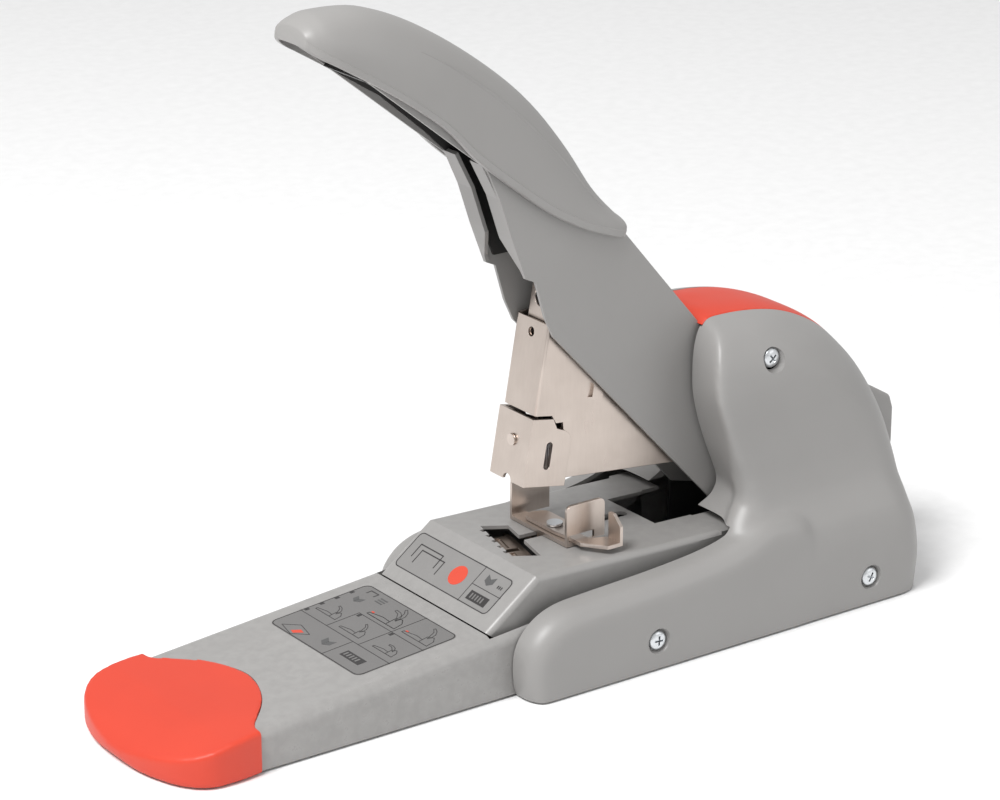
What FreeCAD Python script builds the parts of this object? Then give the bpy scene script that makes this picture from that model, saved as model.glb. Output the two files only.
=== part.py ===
import FreeCAD, Part
import math
import os
from FreeCAD import Vector

# Heavy-duty long reach stapler, standing open with its handle raised.
# X runs from the nose (-) to the rear (+), Y across it, Z up from the desk.
# The origin is on the desk, midway between the nose tip and the magazine tail.

os.makedirs("parts", exist_ok=True)

# ---- driving dimensions (mm) ----
NOSE_X = -181.5          # tip of the soft nose cap
TAIL_X = 181.5           # end of the magazine tail
DESK_GAP = 1.0           # shells and base stand this far above the desk, on feet
SHEET = 1.5              # thickness of the folded steel
FIT = 0.05               # radial clearance of a running fit

AXLE_X = 114.4           # main axle that carries the handle lever and the head
AXLE_Z = 51.25
AXLE_R = 5.0

BASE_HALF = 41.25        # half width of the folded base
BASE_SLOPE = 0.09        # rise of the base's top towards the rear
BASE_TOP_X = -42.4       # where the table begins
BASE_TOP_Z = 26.4
BASE_END_X = 150.0

TABLE_FRONT_X = -18.9    # front edge of the table's flat top
TABLE_FRONT_Z = 44.1
TABLE_FALL = 0.03        # fall of the raised table towards the rear
TABLE_END_X = 72.0
APRON_END_X = 81.0         # end of the table's two rear tongues beside the lever
TABLE_HALF = 36.5
TABLE_PIN_X = 80.0
TABLE_PIN_Z = 33.0

HEAD_TOP_X = 5.4         # front top corner of the head's front cover
HEAD_TOP_Z = 132.75
HEAD_LEAN = 0.179        # forward lean of the head's front, run over drop
MAGAZINE_FALL = 0.1036   # fall of the magazine towards the rear while raised
MAGAZINE_X = 14.25
MAGAZINE_Z = 68.4
MAGAZINE_HALF = 9.2
COVER_HALF = 10.4

LEVER_HALF = 13.75       # half width over the lever's steel sides
LINK_TOP = (36.0, 149.0) # pivot of the drive link on the lever
LINK_BACK = 14.0         # pivot of the drive link on the driver: behind the head's front
LINK_DOWN = 5.0          # and below its top corner
EYE_R = 5.0              # radius of the rounded ends round the link's pins
LINK_PIN_R = 2.2
STAPLE_HEIGHT = 14.2     # top of the staple strip over the magazine floor
STAPLE_HALF = 6.35

SHELL_WALL = 3.0
SHELL_GAP_HALF = 16.0    # half width of the slot that the lever swings in


# ---- drawing helpers ----
def outline(points, y=0.0):
    """Closed wire in the X-Z plane; a third number on a point rounds that corner."""
    ends = []
    count = len(points)
    for i in range(count):
        corner = Vector(points[i][0], y, points[i][1])
        radius = points[i][2] if len(points[i]) > 2 else 0.0
        if radius == 0.0:
            ends.append((corner, None, corner))
            continue
        before = Vector(points[i - 1][0], y, points[i - 1][1]) - corner
        after = Vector(points[(i + 1) % count][0], y, points[(i + 1) % count][1]) - corner
        before.normalize()
        after.normalize()
        half = before.getAngle(after) / 2
        run = radius / math.tan(half)
        middle = before + after
        middle.normalize()
        crown = corner + middle * (radius / math.sin(half) - radius)
        ends.append((corner + before * run, crown, corner + after * run))
    edges = []
    for i in range(count):
        start, crown, finish = ends[i]
        if crown is not None:
            edges.append(Part.Arc(start, crown, finish).toShape())
        following = ends[(i + 1) % count][0]
        if finish.distanceToPoint(following) > 1e-6:
            edges.append(Part.LineSegment(finish, following).toShape())
    return Part.Wire(edges)


def slab(points, y_low, y_high):
    """Plate with an outline in the X-Z plane, between two Y positions."""
    return Part.Face(outline(points, y_low)).extrude(Vector(0, y_high - y_low, 0))


def plan_slab(points, z_low, z_high):
    """Plate with an outline in the X-Y plane, between two heights."""
    flat = slab([(p[0], -p[1]) + tuple(p[2:]) for p in points], 0, z_high - z_low)
    flat.rotate(Vector(0, 0, 0), Vector(1, 0, 0), 90)
    flat.translate(Vector(0, 0, z_low))
    return flat


def curved_outline(stretches, y):
    """Closed wire, smooth along each stretch, with straight runs between them."""
    edges = []
    for i, stretch in enumerate(stretches):
        places = [Vector(x, y, z) for x, z in stretch]
        if len(places) > 1:
            curve = Part.BSplineCurve()
            curve.interpolate(places)
            edges.append(curve.toShape())
        onward = stretches[(i + 1) % len(stretches)][0]
        edges.append(Part.LineSegment(places[-1], Vector(onward[0], y, onward[1])).toShape())
    return Part.Wire(edges)


def curved_slab(stretches, y_low, y_high):
    return Part.Face(curved_outline(stretches, y_low)).extrude(Vector(0, y_high - y_low, 0))


def box(x_range, y_range, z_range):
    size = [high - low for low, high in (x_range, y_range, z_range)]
    return Part.makeBox(size[0], size[1], size[2], Vector(x_range[0], y_range[0], z_range[0]))


def cross_pin(x, z, radius, y_low, y_high):
    """Round bar along Y."""
    return Part.makeCylinder(radius, y_high - y_low, Vector(x, y_low, z), Vector(0, 1, 0))


def cross_ring(x, z, inner, outer, y_low, y_high):
    return cross_pin(x, z, outer, y_low, y_high).cut(cross_pin(x, z, inner, y_low - 1, y_high + 1))


def mirrored(shape):
    return shape.mirror(Vector(0, 0, 0), Vector(0, 1, 0))


def pair(shape):
    """The same piece on both sides, as a group."""
    return Part.makeCompound([shape, mirrored(shape)])


def joined(*shapes):
    whole = shapes[0]
    for shape in shapes[1:]:
        whole = whole.fuse(shape)
    return whole.removeSplitter()


def rounded_edges(shape, radius, chosen):
    """Fillet of the edges whose middle point passes the test."""
    edges = []
    for edge in shape.Edges:
        middle = edge.valueAt((edge.FirstParameter + edge.LastParameter) / 2)
        if chosen(middle, edge):
            edges.append(edge)
    return shape.makeFillet(radius, edges)


def save(name, shape):
    shape.exportStep("parts/" + name + ".step")
    solids = shape.Solids
    volume = sum(solid.Volume for solid in solids)
    print(name, len(solids), "solids", round(volume / 1000, 2), "cm3", shape.isValid())


# ---- lines shared by several pieces ----
def base_top(x):
    return BASE_TOP_Z + BASE_SLOPE * (x - BASE_TOP_X)


def table_top(x):
    return TABLE_FRONT_Z - TABLE_FALL * (x - TABLE_FRONT_X)


def magazine_floor(x):
    return MAGAZINE_Z - MAGAZINE_FALL * (x - MAGAZINE_X)


def head_point(back, down):
    """Place behind and below the head's front top corner, measured along its lean."""
    length = math.hypot(1.0, HEAD_LEAN)
    across = 1.0 / length
    lean = HEAD_LEAN / length
    return (HEAD_TOP_X + back * across - down * lean, HEAD_TOP_Z - back * lean - down * across)


LINK_LOW = head_point(LINK_BACK, LINK_DOWN)


def head_slab(points, y_low, y_high):
    return slab([head_point(p[0], p[1]) + tuple(p[2:]) for p in points], y_low, y_high)


def magazine_slab(points, y_low, y_high):
    """Slab drawn with heights above the magazine's floor line."""
    return slab([(p[0], magazine_floor(p[0]) + p[1]) + tuple(p[2:]) for p in points], y_low, y_high)


# ---- base ----
def nose_outline(grow):
    """Half of the nose cap's plan, from the rear corner round to the tip."""
    return [(-146.8, BASE_HALF + 1.6 + grow), (-157.0, BASE_HALF + 2.2 + grow),
            (-166.6 - grow * 0.3, 41.5 + grow), (-173.6 - grow * 0.8, 34.0 + grow * 0.8),
            (-178.4 - grow, 21.0), (NOSE_X + 0.5 - grow, 8.0), (NOSE_X - grow, 0.0)]


def nose_lobe():
    """Half of the cap's wavy rear edge, from the middle out to the side."""
    return [(-126.0, 0.0), (-128.2, 11.0), (-133.5, 22.0), (-141.0, 31.0),
            (-146.0, 37.0), (-146.8, BASE_HALF + 1.6)]


def plan_curve_prism(front, rear, z_low, z_high):
    """Prism over a plan made of two smooth curves and their mirror images."""
    whole_front = front + [(x, -y) for x, y in reversed(front[:-1])]
    whole_rear = [(x, -y) for x, y in reversed(rear[1:])] + rear
    ahead = Part.BSplineCurve()
    ahead.interpolate([Vector(x, y, z_low) for x, y in whole_front])
    behind = Part.BSplineCurve()
    behind.interpolate([Vector(x, y, z_low) for x, y in whole_rear])
    edges = [ahead.toShape(), behind.toShape()]
    start = Vector(whole_front[-1][0], whole_front[-1][1], z_low)
    finish = Vector(whole_rear[0][0], whole_rear[0][1], z_low)
    if start.distanceToPoint(finish) > 1e-6:
        edges.insert(1, Part.LineSegment(start, finish).toShape())
        last = Vector(whole_rear[-1][0], whole_rear[-1][1], z_low)
        first = Vector(whole_front[0][0], whole_front[0][1], z_low)
        edges.append(Part.LineSegment(last, first).toShape())
    return Part.Face(Part.Wire(edges)).extrude(Vector(0, 0, z_high - z_low))


def nose_prism(z_low, z_high):
    return plan_curve_prism(nose_outline(0.0), nose_lobe(), z_low, z_high)


def base_profile(half, drop, bottom):
    front = -165.0
    flat_x = 8.0
    points = [(front, bottom), (front, base_top(front) - drop), (flat_x, base_top(flat_x) - drop),
              (BASE_END_X, base_top(flat_x) - drop), (BASE_END_X, bottom)]
    return slab(points, -half, half)


def folded_base():
    outer = base_profile(BASE_HALF, 0.0, DESK_GAP)
    outer = rounded_edges(outer, 5.0, lambda m, e: abs(m.y) > BASE_HALF - 0.1
                          and abs(m.z - base_top(min(m.x, 8.0))) < 0.6 and e.Length > 60)
    inner = base_profile(BASE_HALF - SHEET, SHEET, DESK_GAP - 5)
    inner = rounded_edges(inner, 3.5, lambda m, e: abs(m.y) > BASE_HALF - SHEET - 0.1
                          and abs(m.z - base_top(min(m.x, 8.0)) + SHEET) < 0.6 and e.Length > 60)
    shell = outer.cut(inner)
    recess = box((BASE_TOP_X - 0.6, BASE_END_X + 1), (-38.9, 38.9), (20, 40))
    return shell.cut(recess).cut(nose_prism(-1, 40))


def nose_cap():
    low = DESK_GAP
    side = [(-120, low), (-120, base_top(-120)), (-151, base_top(-151)), (-171, 12.4, 30),
            (-180.6, 7.6, 5), (NOSE_X - 0.6, 3.4, 3), (-178.5, low)]
    body = slab(side, -46, 46).common(nose_prism(low - 0.5, 30))
    hollow_side = [(-147.5, low - 2), (-147.5, base_top(-147.5) - 2.4), (-168, 11.2, 20), (-176.5, 4.5, 3),
                   (-176.5, low - 2)]
    inside = plan_curve_prism(nose_outline(-2.6), nose_lobe(), low - 3, 40)
    hollow = slab(hollow_side, -60, 60).common(inside)
    lobe_under = slab([(-147.5, low - 2), (-147.5, base_top(-147.5) - SHEET),
                       (-110, base_top(-110) - SHEET), (-110, low - 2)], -60, 60)
    return body.cut(hollow).cut(lobe_under)


def bottom_plate():
    plate = box((-140, 140), (-39.4, 39.4), (3.0, 3.0 + SHEET))
    holes = [Part.makeCylinder(3.05, 6, Vector(x, y, 1)) for x in (-120, 120) for y in (-28, 28)]
    for hole in holes:
        plate = plate.cut(hole)
    return plate


def rubber_feet():
    feet = []
    for x in (-120, 120):
        for y in (-28, 28):
            pad = Part.makeCylinder(9.0, 3.0, Vector(x, y, 0))
            stud = Part.makeCylinder(3.0, 4.0, Vector(x, y, 2.5))
            feet.append(pad.fuse(stud).removeSplitter())
    return Part.makeCompound(feet)


def base_angle_strips():
    """Two angle strips that tie the bottom plate to the base's side flanges."""
    strip = joined(box((-138, 138), (-39.7, -38.2), (4.5, 12)), box((-138, 138), (-39.7, -32), (4.5, 6)))
    return pair(strip)


# ---- table ----
def table_side_points(drop, inset):
    front_x = BASE_TOP_X + inset
    top_x = TABLE_FRONT_X + inset * 0.3
    low = BASE_TOP_Z - 4.0
    return [(front_x + 5.5, low), (front_x, BASE_TOP_Z + 0.2 - drop * 0.2),
            (top_x, table_top(top_x) - drop), (TABLE_END_X + inset, table_top(TABLE_END_X) - drop),
            (TABLE_END_X + inset, low)]


def anvil_opening():
    """Skewed opening over the clincher, with small teeth along its front edge."""
    corners = [(-6.4, 18.75), (3.4, 13.4), (-4.6, -19.25), (-14.4, -13.75)]
    hole = plan_slab(corners, 30, 50)
    for i in range(5):
        share = (i + 0.8) / 5.6
        x = -14.4 + share * 8.0
        y = -13.75 + share * 32.5
        hole = hole.fuse(box((x - 1.6, x + 2), (y - 1.1, y + 1.1), (30, 50)))
    return hole


def table_cover():
    outer = slab(table_side_points(0.0, 0.0), -TABLE_HALF, TABLE_HALF)
    outer = rounded_edges(outer, 2.5, lambda m, e: abs(m.y) > TABLE_HALF - 0.1 and m.z > 28 and e.Length > 20)
    inner = slab(table_side_points(SHEET, SHEET * 1.3), -TABLE_HALF + SHEET, TABLE_HALF - SHEET)
    open_below = box((BASE_TOP_X - 6, TABLE_END_X + 2), (-TABLE_HALF + SHEET, TABLE_HALF - SHEET), (0, 24))
    cover = outer.cut(inner).cut(open_below)
    cover = cover.cut(anvil_opening())
    stop_slot = joined(box((-2, 49), (-2.5, 2.5), (30, 50)), Part.makeCylinder(2.5, 20, Vector(49, 0, 30)))
    lever_notch = box((54, 80), (-15.6, 15.6), (20, 50))
    cover = cover.cut(stop_slot).cut(lever_notch)
    apron = slab([(TABLE_END_X - 1, table_top(TABLE_END_X)), (APRON_END_X, table_top(APRON_END_X)),
                  (APRON_END_X, table_top(APRON_END_X) - SHEET), (TABLE_END_X - 1, table_top(TABLE_END_X) - SHEET)],
                 16.5, TABLE_HALF)
    ear = slab([(60, 24.5), (60, 40), (76, 40, 5), (85, 36, 4), (85, 28, 4), (74, 24.5)],
               TABLE_HALF - SHEET, TABLE_HALF)
    ear = ear.cut(cross_pin(TABLE_PIN_X, TABLE_PIN_Z, 2.0 + FIT, 0, 60))
    return joined(cover, ear, mirrored(ear), apron, mirrored(apron))


def table_hinge_pins():
    """Two headed stub pins from the upright lugs into the table's ears."""
    stub = cross_pin(TABLE_PIN_X, TABLE_PIN_Z, 2.0, 34.0, 38.7)
    return pair(stub.fuse(cross_pin(TABLE_PIN_X, TABLE_PIN_Z, 3.6, 37.2, 38.7)).removeSplitter())


def table_pin_brackets():
    """Upright lugs on the bottom plate that hold the table's stub pins."""
    lug = slab([(70, 6), (90, 6), (87, 38, 5), (73, 38, 5)], 37.2, 38.2)
    lug = lug.cut(cross_pin(TABLE_PIN_X, TABLE_PIN_Z, 3.6, 30, 60))
    return pair(lug)


def table_springs():
    """Coil springs that hold the table up, as their outer tubes."""
    springs = []
    for y in (-26.5, 26.5):
        tube = Part.makeCylinder(5.0, 37.2, Vector(-9, y, 4.5))
        springs.append(tube.cut(Part.makeCylinder(3.4, 40, Vector(-9, y, 3))))
    return Part.makeCompound(springs)


# ---- clincher ----
SKEW = math.radians(13.8)
CLINCH_X = -5.5


def skewed(shape):
    """Turn a piece drawn straight across the table into line with the anvil opening."""
    turned = shape.copy()
    turned.rotate(Vector(CLINCH_X, 0, 0), Vector(0, 0, 1), -math.degrees(SKEW))
    return turned


def anvil_block():
    """Steel block on the bottom plate with a trough for each wing."""
    block = box((CLINCH_X - 7, CLINCH_X + 7), (-19, 19), (4.5, 38.6))
    trough = box((CLINCH_X - 4.5, CLINCH_X + 4.5), (-20, 20), (32.0, 40))
    block = block.cut(trough)
    for y in (-4.0, 4.0):
        bore = Part.makeCylinder(1.5, 20, Vector(CLINCH_X - 10, y, 35.2), Vector(1, 0, 0))
        block = block.cut(bore)
    return skewed(block)


def clincher_wing(side):
    """Wing that folds one staple leg; its outer end rises as the table sinks."""
    wing = box((CLINCH_X - 4.0, CLINCH_X + 4.0), (1.4, 14.6), (33.4, 39.4))
    groove = Part.makeCylinder(1.0, 10.5, Vector(CLINCH_X, 2.6, 39.6), Vector(0, 1, 0))
    bore = Part.makeCylinder(1.5 + FIT, 12, Vector(CLINCH_X - 6, 4.0, 35.2), Vector(1, 0, 0))
    wing = wing.cut(groove).cut(bore)
    if side < 0:
        wing = mirrored(wing)
    return skewed(wing)


def clincher_pins():
    pins = []
    for y in (-4.0, 4.0):
        pins.append(Part.makeCylinder(1.5, 14, Vector(CLINCH_X - 7, y, 35.2), Vector(1, 0, 0)))
    return skewed(Part.makeCompound(pins))


# ---- paper stop ----
STOP_X = 8.1
STOP_HALF = 18.75


def stop_bracket():
    low = table_top(STOP_X) + 0.3
    strip = box((STOP_X, STOP_X + 7.5), (-STOP_HALF, STOP_HALF), (low, low + SHEET))
    upright = slab([(STOP_X, low), (STOP_X, low + 16.9, 2.5), (STOP_X + 18.4, low + 16.9, 2.5),
                    (STOP_X + 18.4, low + 1.2), (STOP_X + 7.5, low + 1.2), (STOP_X + 7.5, low)],
                   STOP_HALF - 1.3, STOP_HALF)
    doorway = box((STOP_X + 1.2, STOP_X + 13.4), (-STOP_HALF - 1, -STOP_HALF + 3), (low + SHEET, low + 4.6))
    whole = joined(strip, upright, mirrored(upright)).cut(doorway)
    return whole.cut(Part.makeCylinder(1.5, 10, Vector(14, -3, low - 4)))


def stop_guide():
    """Foot under the table that runs in the slot and carries the bracket."""
    low = table_top(STOP_X) + 0.3
    stem = box((STOP_X + 1, STOP_X + 7), (-2.2, 2.2), (39.4, low))
    foot = box((STOP_X - 1, STOP_X + 9), (-8, 8), (37.9, 40.9))
    return joined(stem, foot)


def stop_rivet():
    low = table_top(STOP_X) + 0.3
    shank = Part.makeCylinder(1.5, 3.6, Vector(14, -3, low))
    head = Part.makeCylinder(3.2, 1.0, Vector(14, -3, low + 3.4))
    return joined(shank, head)


def stop_release_lever():
    low = table_top(STOP_X) + 0.3 + SHEET + 0.2
    plate = plan_slab([(10.0, -8), (10.0, 11, 1.5), (14.0, 14, 4), (20.5, 11, 3), (20.5, -8, 4),
                       (16.5, -15), (16.5, -22), (24.6, -25.5), (24.6, -33.0), (17.5, -33.0),
                       (10.8, -24), (10.8, -15)], low, low + 1.5)
    plate = plate.cut(Part.makeCylinder(1.5 + FIT, 10, Vector(14, -3, low - 4)))
    tab = Part.Face(Part.makePolygon([Vector(23.2, -33, low + 1), Vector(23.2, -25.5, low + 1),
                                      Vector(23.2, -25.5, low + 12), Vector(23.2, -28.5, low + 12),
                                      Vector(23.2, -33, low + 8), Vector(23.2, -33, low + 1)]))
    return joined(plate, tab.extrude(Vector(1.4, 0, 0)))


# ---- head and magazine ----
def magazine_channel():
    side = [(MAGAZINE_X, magazine_floor(MAGAZINE_X)), (98.0, magazine_floor(98.0)),
            (103.0, 46.0, 6), (112.0, 38.5, 8), (126.0, 46.0, 8), (131.0, magazine_floor(131.0)),
            (160.0, magazine_floor(160.0)), (160.0, 74.0), (104.0, 78.0, 10), (75.0, 89.0, 10),
            (60.0, 99.0), (21.0, 126.0), (11.5, 126.0)]
    plate = slab(side, MAGAZINE_HALF - 1.4, MAGAZINE_HALF)
    plate = plate.cut(cross_pin(AXLE_X, AXLE_Z, AXLE_R + FIT, 0, 20))
    floor = magazine_slab([(30, 0), (97, 0), (97, 1.2), (30, 1.2)], -MAGAZINE_HALF, MAGAZINE_HALF)
    bridge = slab([(62, 95.2), (75, 86.6), (75, 88.4), (62, 97.0)], -MAGAZINE_HALF, MAGAZINE_HALF)
    return joined(plate, mirrored(plate), floor, bridge)


def upper_front_cover():
    front = head_slab([(0, 0), (0, 36), (1.2, 36), (1.2, 0)], -COVER_HALF, COVER_HALF)
    hole = head_point(0, 5.0)
    drill = Part.makeCylinder(1.9, 12, Vector(hole[0] - 6, 0, hole[1]), Vector(1, 0, 0))
    side = head_slab([(0, 0), (0, 36), (8.0, 36), (10.5, 39), (22.0, 38.0, 2.5), (24.5, 30.5, 2.0),
                      (31.5, 30.0, 2.0), (32.0, 15.5), (26.0, 14.5), (8.0, -2.0)],
                     MAGAZINE_HALF, COVER_HALF)
    hook = joined(cross_pin(head_point(24.5, 25)[0], head_point(24.5, 25)[1], 1.9, 0, 20),
                  head_slab([(24.0, 25), (26.4, 25), (26.4, 29), (24.0, 29)], 0, 20))
    side = side.cut(hook)
    cover = joined(front, side, mirrored(side)).cut(drill)
    return rounded_edges(cover, 1.0, lambda m, e: abs(abs(m.y) - COVER_HALF) < 0.05 and e.Length > 34.5
                         and abs(e.Length - 36) < 0.5)


def lower_front_cover():
    half = COVER_HALF + 0.6
    front = head_slab([(-1.3, 37.2), (-1.3, 64.4), (0.1, 64.4), (0.1, 37.2)], -half, half)
    notch_at = head_point(-0.6, 64.4)
    notch = Part.makeCylinder(2.6, 12, Vector(notch_at[0] - 6, 0, notch_at[1]), Vector(1, 0, 0))
    side = head_slab([(-1.3, 37.2), (-1.3, 64.4), (18.8, 64.4), (18.8, 43.0, 5.0),
                      (11.0, 41.0), (8.6, 37.2)], MAGAZINE_HALF, half)
    slot = joined(*[cross_pin(head_point(8.6, d)[0], head_point(8.6, d)[1], 1.5, 0, 20) for d in (48, 56)],
                  head_slab([(7.1, 48), (10.1, 48), (10.1, 56), (7.1, 56)], 0, 20))
    side = side.cut(slot)
    return joined(front, side, mirrored(side)).cut(notch)


def cover_rivet():
    """Button head of the rivet in the lower cover's front."""
    at = head_point(-1.3, 48.0)
    return Part.makeCylinder(2.4, 0.9, Vector(at[0] - 0.9, 0, at[1]), Vector(1, 0, 0))


def magazine_spacer():
    """Steel strip that ties the magazine's sides together over the rail."""
    return magazine_slab([(76, 18.6), (98, 18.6), (98, 20.4), (76, 20.4)], -7.8, 7.8)


def staple_rail():
    return magazine_slab([(2, 2.0), (162, 2.0), (162, 13.0), (2, 13.0)], -5.4, 5.4)


def staple_strip():
    """Glued strip of staples over the rail."""
    outside = magazine_slab([(1, 2.0), (72, 2.0), (72, STAPLE_HEIGHT), (1, STAPLE_HEIGHT)], -STAPLE_HALF, STAPLE_HALF)
    inside = magazine_slab([(0, 1.0), (74, 1.0), (74, 13.3), (0, 13.3)], -5.65, 5.65)
    return outside.cut(inside)


ROD_HEIGHT = 15.8        # guide rod's height over the magazine floor


def magazine_bar(x_low, x_high, radius):
    """Round bar along the magazine at the guide rod's height."""
    start = Vector(x_low, 0, magazine_floor(x_low) + ROD_HEIGHT)
    finish = Vector(x_high, 0, magazine_floor(x_high) + ROD_HEIGHT)
    return Part.makeCylinder(radius, start.distanceToPoint(finish), start, finish - start)


def staple_pusher():
    """Saddle that rides the rail and presses the staples forward."""
    outside = magazine_slab([(72.4, 1.8), (86, 1.8), (86, 18.0, 2), (72.4, 18.0, 2)], -7.0, 7.0)
    inside = magazine_slab([(70, 1.0), (88, 1.0), (88, 13.4), (70, 13.4)], -5.8, 5.8)
    return outside.cut(inside).cut(magazine_bar(70, 90, 1.5))


def pusher_rod():
    return magazine_bar(80.0, 164.0, 1.2)


def pusher_spring():
    """Coil spring behind the pusher, as its outer tube."""
    return magazine_bar(86.4, 162.0, 2.2).cut(magazine_bar(80.0, 164.0, 1.3))


def magazine_tail():
    """Painted grip at the rear end of the staple rail."""
    grip = slab([(163.5, 40.0), (163.5, 74.5, 2), (169.0, 74.5, 3), (179.6, 68.2, 3),
                 (TAIL_X, 62.5, 3), (TAIL_X, 48.0, 3), (179.6, 37.2, 3), (166.0, 38.0, 2)], -12.5, 12.5)
    grip = rounded_edges(grip, 1.5, lambda m, e: abs(m.y) > 12.4 and m.x > 166)
    seat = magazine_slab([(160, 1.9), (166, 1.9), (166, 13.1), (160, 13.1)], -5.5, 5.5)
    rod_seat = magazine_bar(160, 164.2, 1.2)
    return grip.cut(seat).cut(rod_seat)


# ---- staple driver ----
def driver_blade():
    blade = head_slab([(2.0, -19), (2.0, 30), (3.5, 30), (3.5, -19)], -6.2, 6.2)
    at = head_point(2.7, -9.0)
    window = Part.makeCylinder(3.6, 12, Vector(at[0] - 6, 0, at[1]), Vector(1, 0, 0))
    return blade.cut(window)


def driver_carrier():
    """Block behind the blade with a fork for the drive link."""
    block = head_slab([(3.5, -5), (3.5, 9), (9.5, 9), (9.5, -5)], -7.0, 7.0)
    arm = head_slab([(3.5, LINK_DOWN - EYE_R), (3.5, 9), (LINK_BACK, LINK_DOWN + EYE_R),
                     (LINK_BACK, LINK_DOWN - EYE_R)], 3.6, 5.4)
    lug = joined(arm, cross_pin(LINK_LOW[0], LINK_LOW[1], EYE_R, 3.6, 5.4))
    slot = head_slab([(6.2, -20), (30, -20), (30, 20), (6.2, 20)], -3.6, 3.6)
    fork = joined(block, lug, mirrored(lug)).cut(slot)
    return fork.cut(cross_pin(LINK_LOW[0], LINK_LOW[1], LINK_PIN_R, -8, 8))


def link_low_pin():
    return cross_pin(LINK_LOW[0], LINK_LOW[1], LINK_PIN_R, -6.4, 6.4)


# ---- handle lever ----
def lever_top_line(x):
    """Height of the lever's straight back, 15.9 mm off the axle."""
    return AXLE_Z + (15.9 - 0.7609 * (x - AXLE_X)) / 0.6486


def lever_web_under(x):
    """Height of the underside of the lever's straight web."""
    return lever_top_line(x) - 2.3


LEVER_BACK = [(-87, 255.5), (-72, 255.5), (-54, 249.5), (-38, 240.5), (-22, 229.0), (-6, 215.0)]


def lever_outline():
    return ([(-88, 250.0)] + LEVER_BACK
            + [(10, lever_top_line(10)), (90, lever_top_line(90)), (100, 98, 8), (119, 70, 12),
               (127, 52, 10), (118, 38.5, 10), (107, 38.5, 8), (84.4, 44.25), (5, 129.1),
               (0.9, 137.9), (-3.5, 152.7), (-8.1, 154.8), (-14.6, 171.75), (-20.1, 188.2),
               (-26.0, 201.0, 9), (-42, 213.5), (-64, 231)])


def lever_inside():
    """Everything below the web, so that what is left is a channel open underneath."""
    back = [(x, z - 1.9) for x, z in LEVER_BACK]
    return ([(-95, 246), (-95, 253.6)] + back
            + [(10, lever_web_under(10)), (90, lever_web_under(90)), (90, 150), (160, 150),
               (160, 20), (-95, 20)])


def lever_frame():
    outer = slab(lever_outline(), -LEVER_HALF, LEVER_HALF)
    inner_half = LEVER_HALF - SHEET
    channel = outer.cut(slab(lever_inside(), -inner_half, inner_half))
    bore = cross_pin(AXLE_X, AXLE_Z, AXLE_R + FIT, -20, 20)
    flange = slab([(-27.5, 202.5), (-20.1, 188.2), (-14.6, 171.75), (-8.1, 154.8), (-6.6, 155.4),
                   (-13.1, 172.3), (-18.6, 188.8), (-26.0, 203.2)], 4.7, inner_half)
    chamfer = Part.Face(Part.makePolygon([Vector(-16, 4, 150), Vector(-16, 13, 150), Vector(-16, 11.5, 158),
                                          Vector(-16, 4, 171), Vector(-16, 4, 150)]))
    flange = flange.cut(chamfer.extrude(Vector(12, 0, 0)))
    return joined(channel, flange, mirrored(flange)).cut(bore)


def lever_liner():
    """Dark plastic channel inside the lever's front."""
    half = LEVER_HALF - SHEET
    side = [(-80, 243), (-56, 228), (-36, 211), (-21, 196), (-16.5, 186), (-11, 171.6), (-5.2, 157.5),
            (6, 157.5), (14, 176), (10, 190), (-8, 211), (-24, 225), (-40, 236.5), (-56, 245), (-72, 250.5)]
    shell = slab(side, -half, half)
    hollow = slab([(-100, 236), (-80, 238), (-74, 246.5), (-56, 241.5), (-40, 233), (-24, 221.5),
                   (-8, 207.5), (8, 188), (12, 176), (30, 150), (-40, 150)], -half + 1.2, half - 1.2)
    return shell.cut(hollow)


def drive_bracket():
    """Fork hanging from the lever's web that holds the top of the drive link."""
    roof = lever_web_under(45.6)
    tail = lever_web_under(56.0)
    arm = slab([(33.0, 153.0), (45.6, roof), (56.0, tail), (39.0, 145.0)], 3.4, 5.2)
    lug = joined(arm, cross_pin(LINK_TOP[0], LINK_TOP[1], EYE_R, 3.4, 5.2))
    foot = slab([(45.6, roof), (56.0, tail), (54.8, tail - 1.0), (44.4, roof - 1.0)], -8.0, 8.0)
    fork = joined(lug, mirrored(lug), foot)
    return fork.cut(cross_pin(LINK_TOP[0], LINK_TOP[1], LINK_PIN_R, -8, 8))


def link_top_pin():
    return cross_pin(LINK_TOP[0], LINK_TOP[1], LINK_PIN_R, -6.2, 6.2)


def drive_link():
    """Flat link from the lever's bracket down to the driver carrier; its lower eye is a loose fit."""
    loose_r = LINK_PIN_R + 1.9
    top = Vector(LINK_TOP[0], -2.6, LINK_TOP[1])
    low = Vector(LINK_LOW[0], -2.6, LINK_LOW[1])
    along = low - top
    along.normalize()
    across = Vector(along.z, 0, -along.x) * 4.5
    corners = [top + across, low + across, low - across, top - across]
    bar = Part.Face(Part.makePolygon(corners + [corners[0]])).extrude(Vector(0, 5.2, 0))
    link = joined(bar, cross_pin(LINK_TOP[0], LINK_TOP[1], EYE_R, -2.6, 2.6),
                  cross_pin(LINK_LOW[0], LINK_LOW[1], loose_r + 2.0, -2.6, 2.6))
    link = link.cut(cross_pin(LINK_TOP[0], LINK_TOP[1], LINK_PIN_R + FIT, -5, 5))
    return link.cut(cross_pin(LINK_LOW[0], LINK_LOW[1], loose_r, -5, 5))


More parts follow.
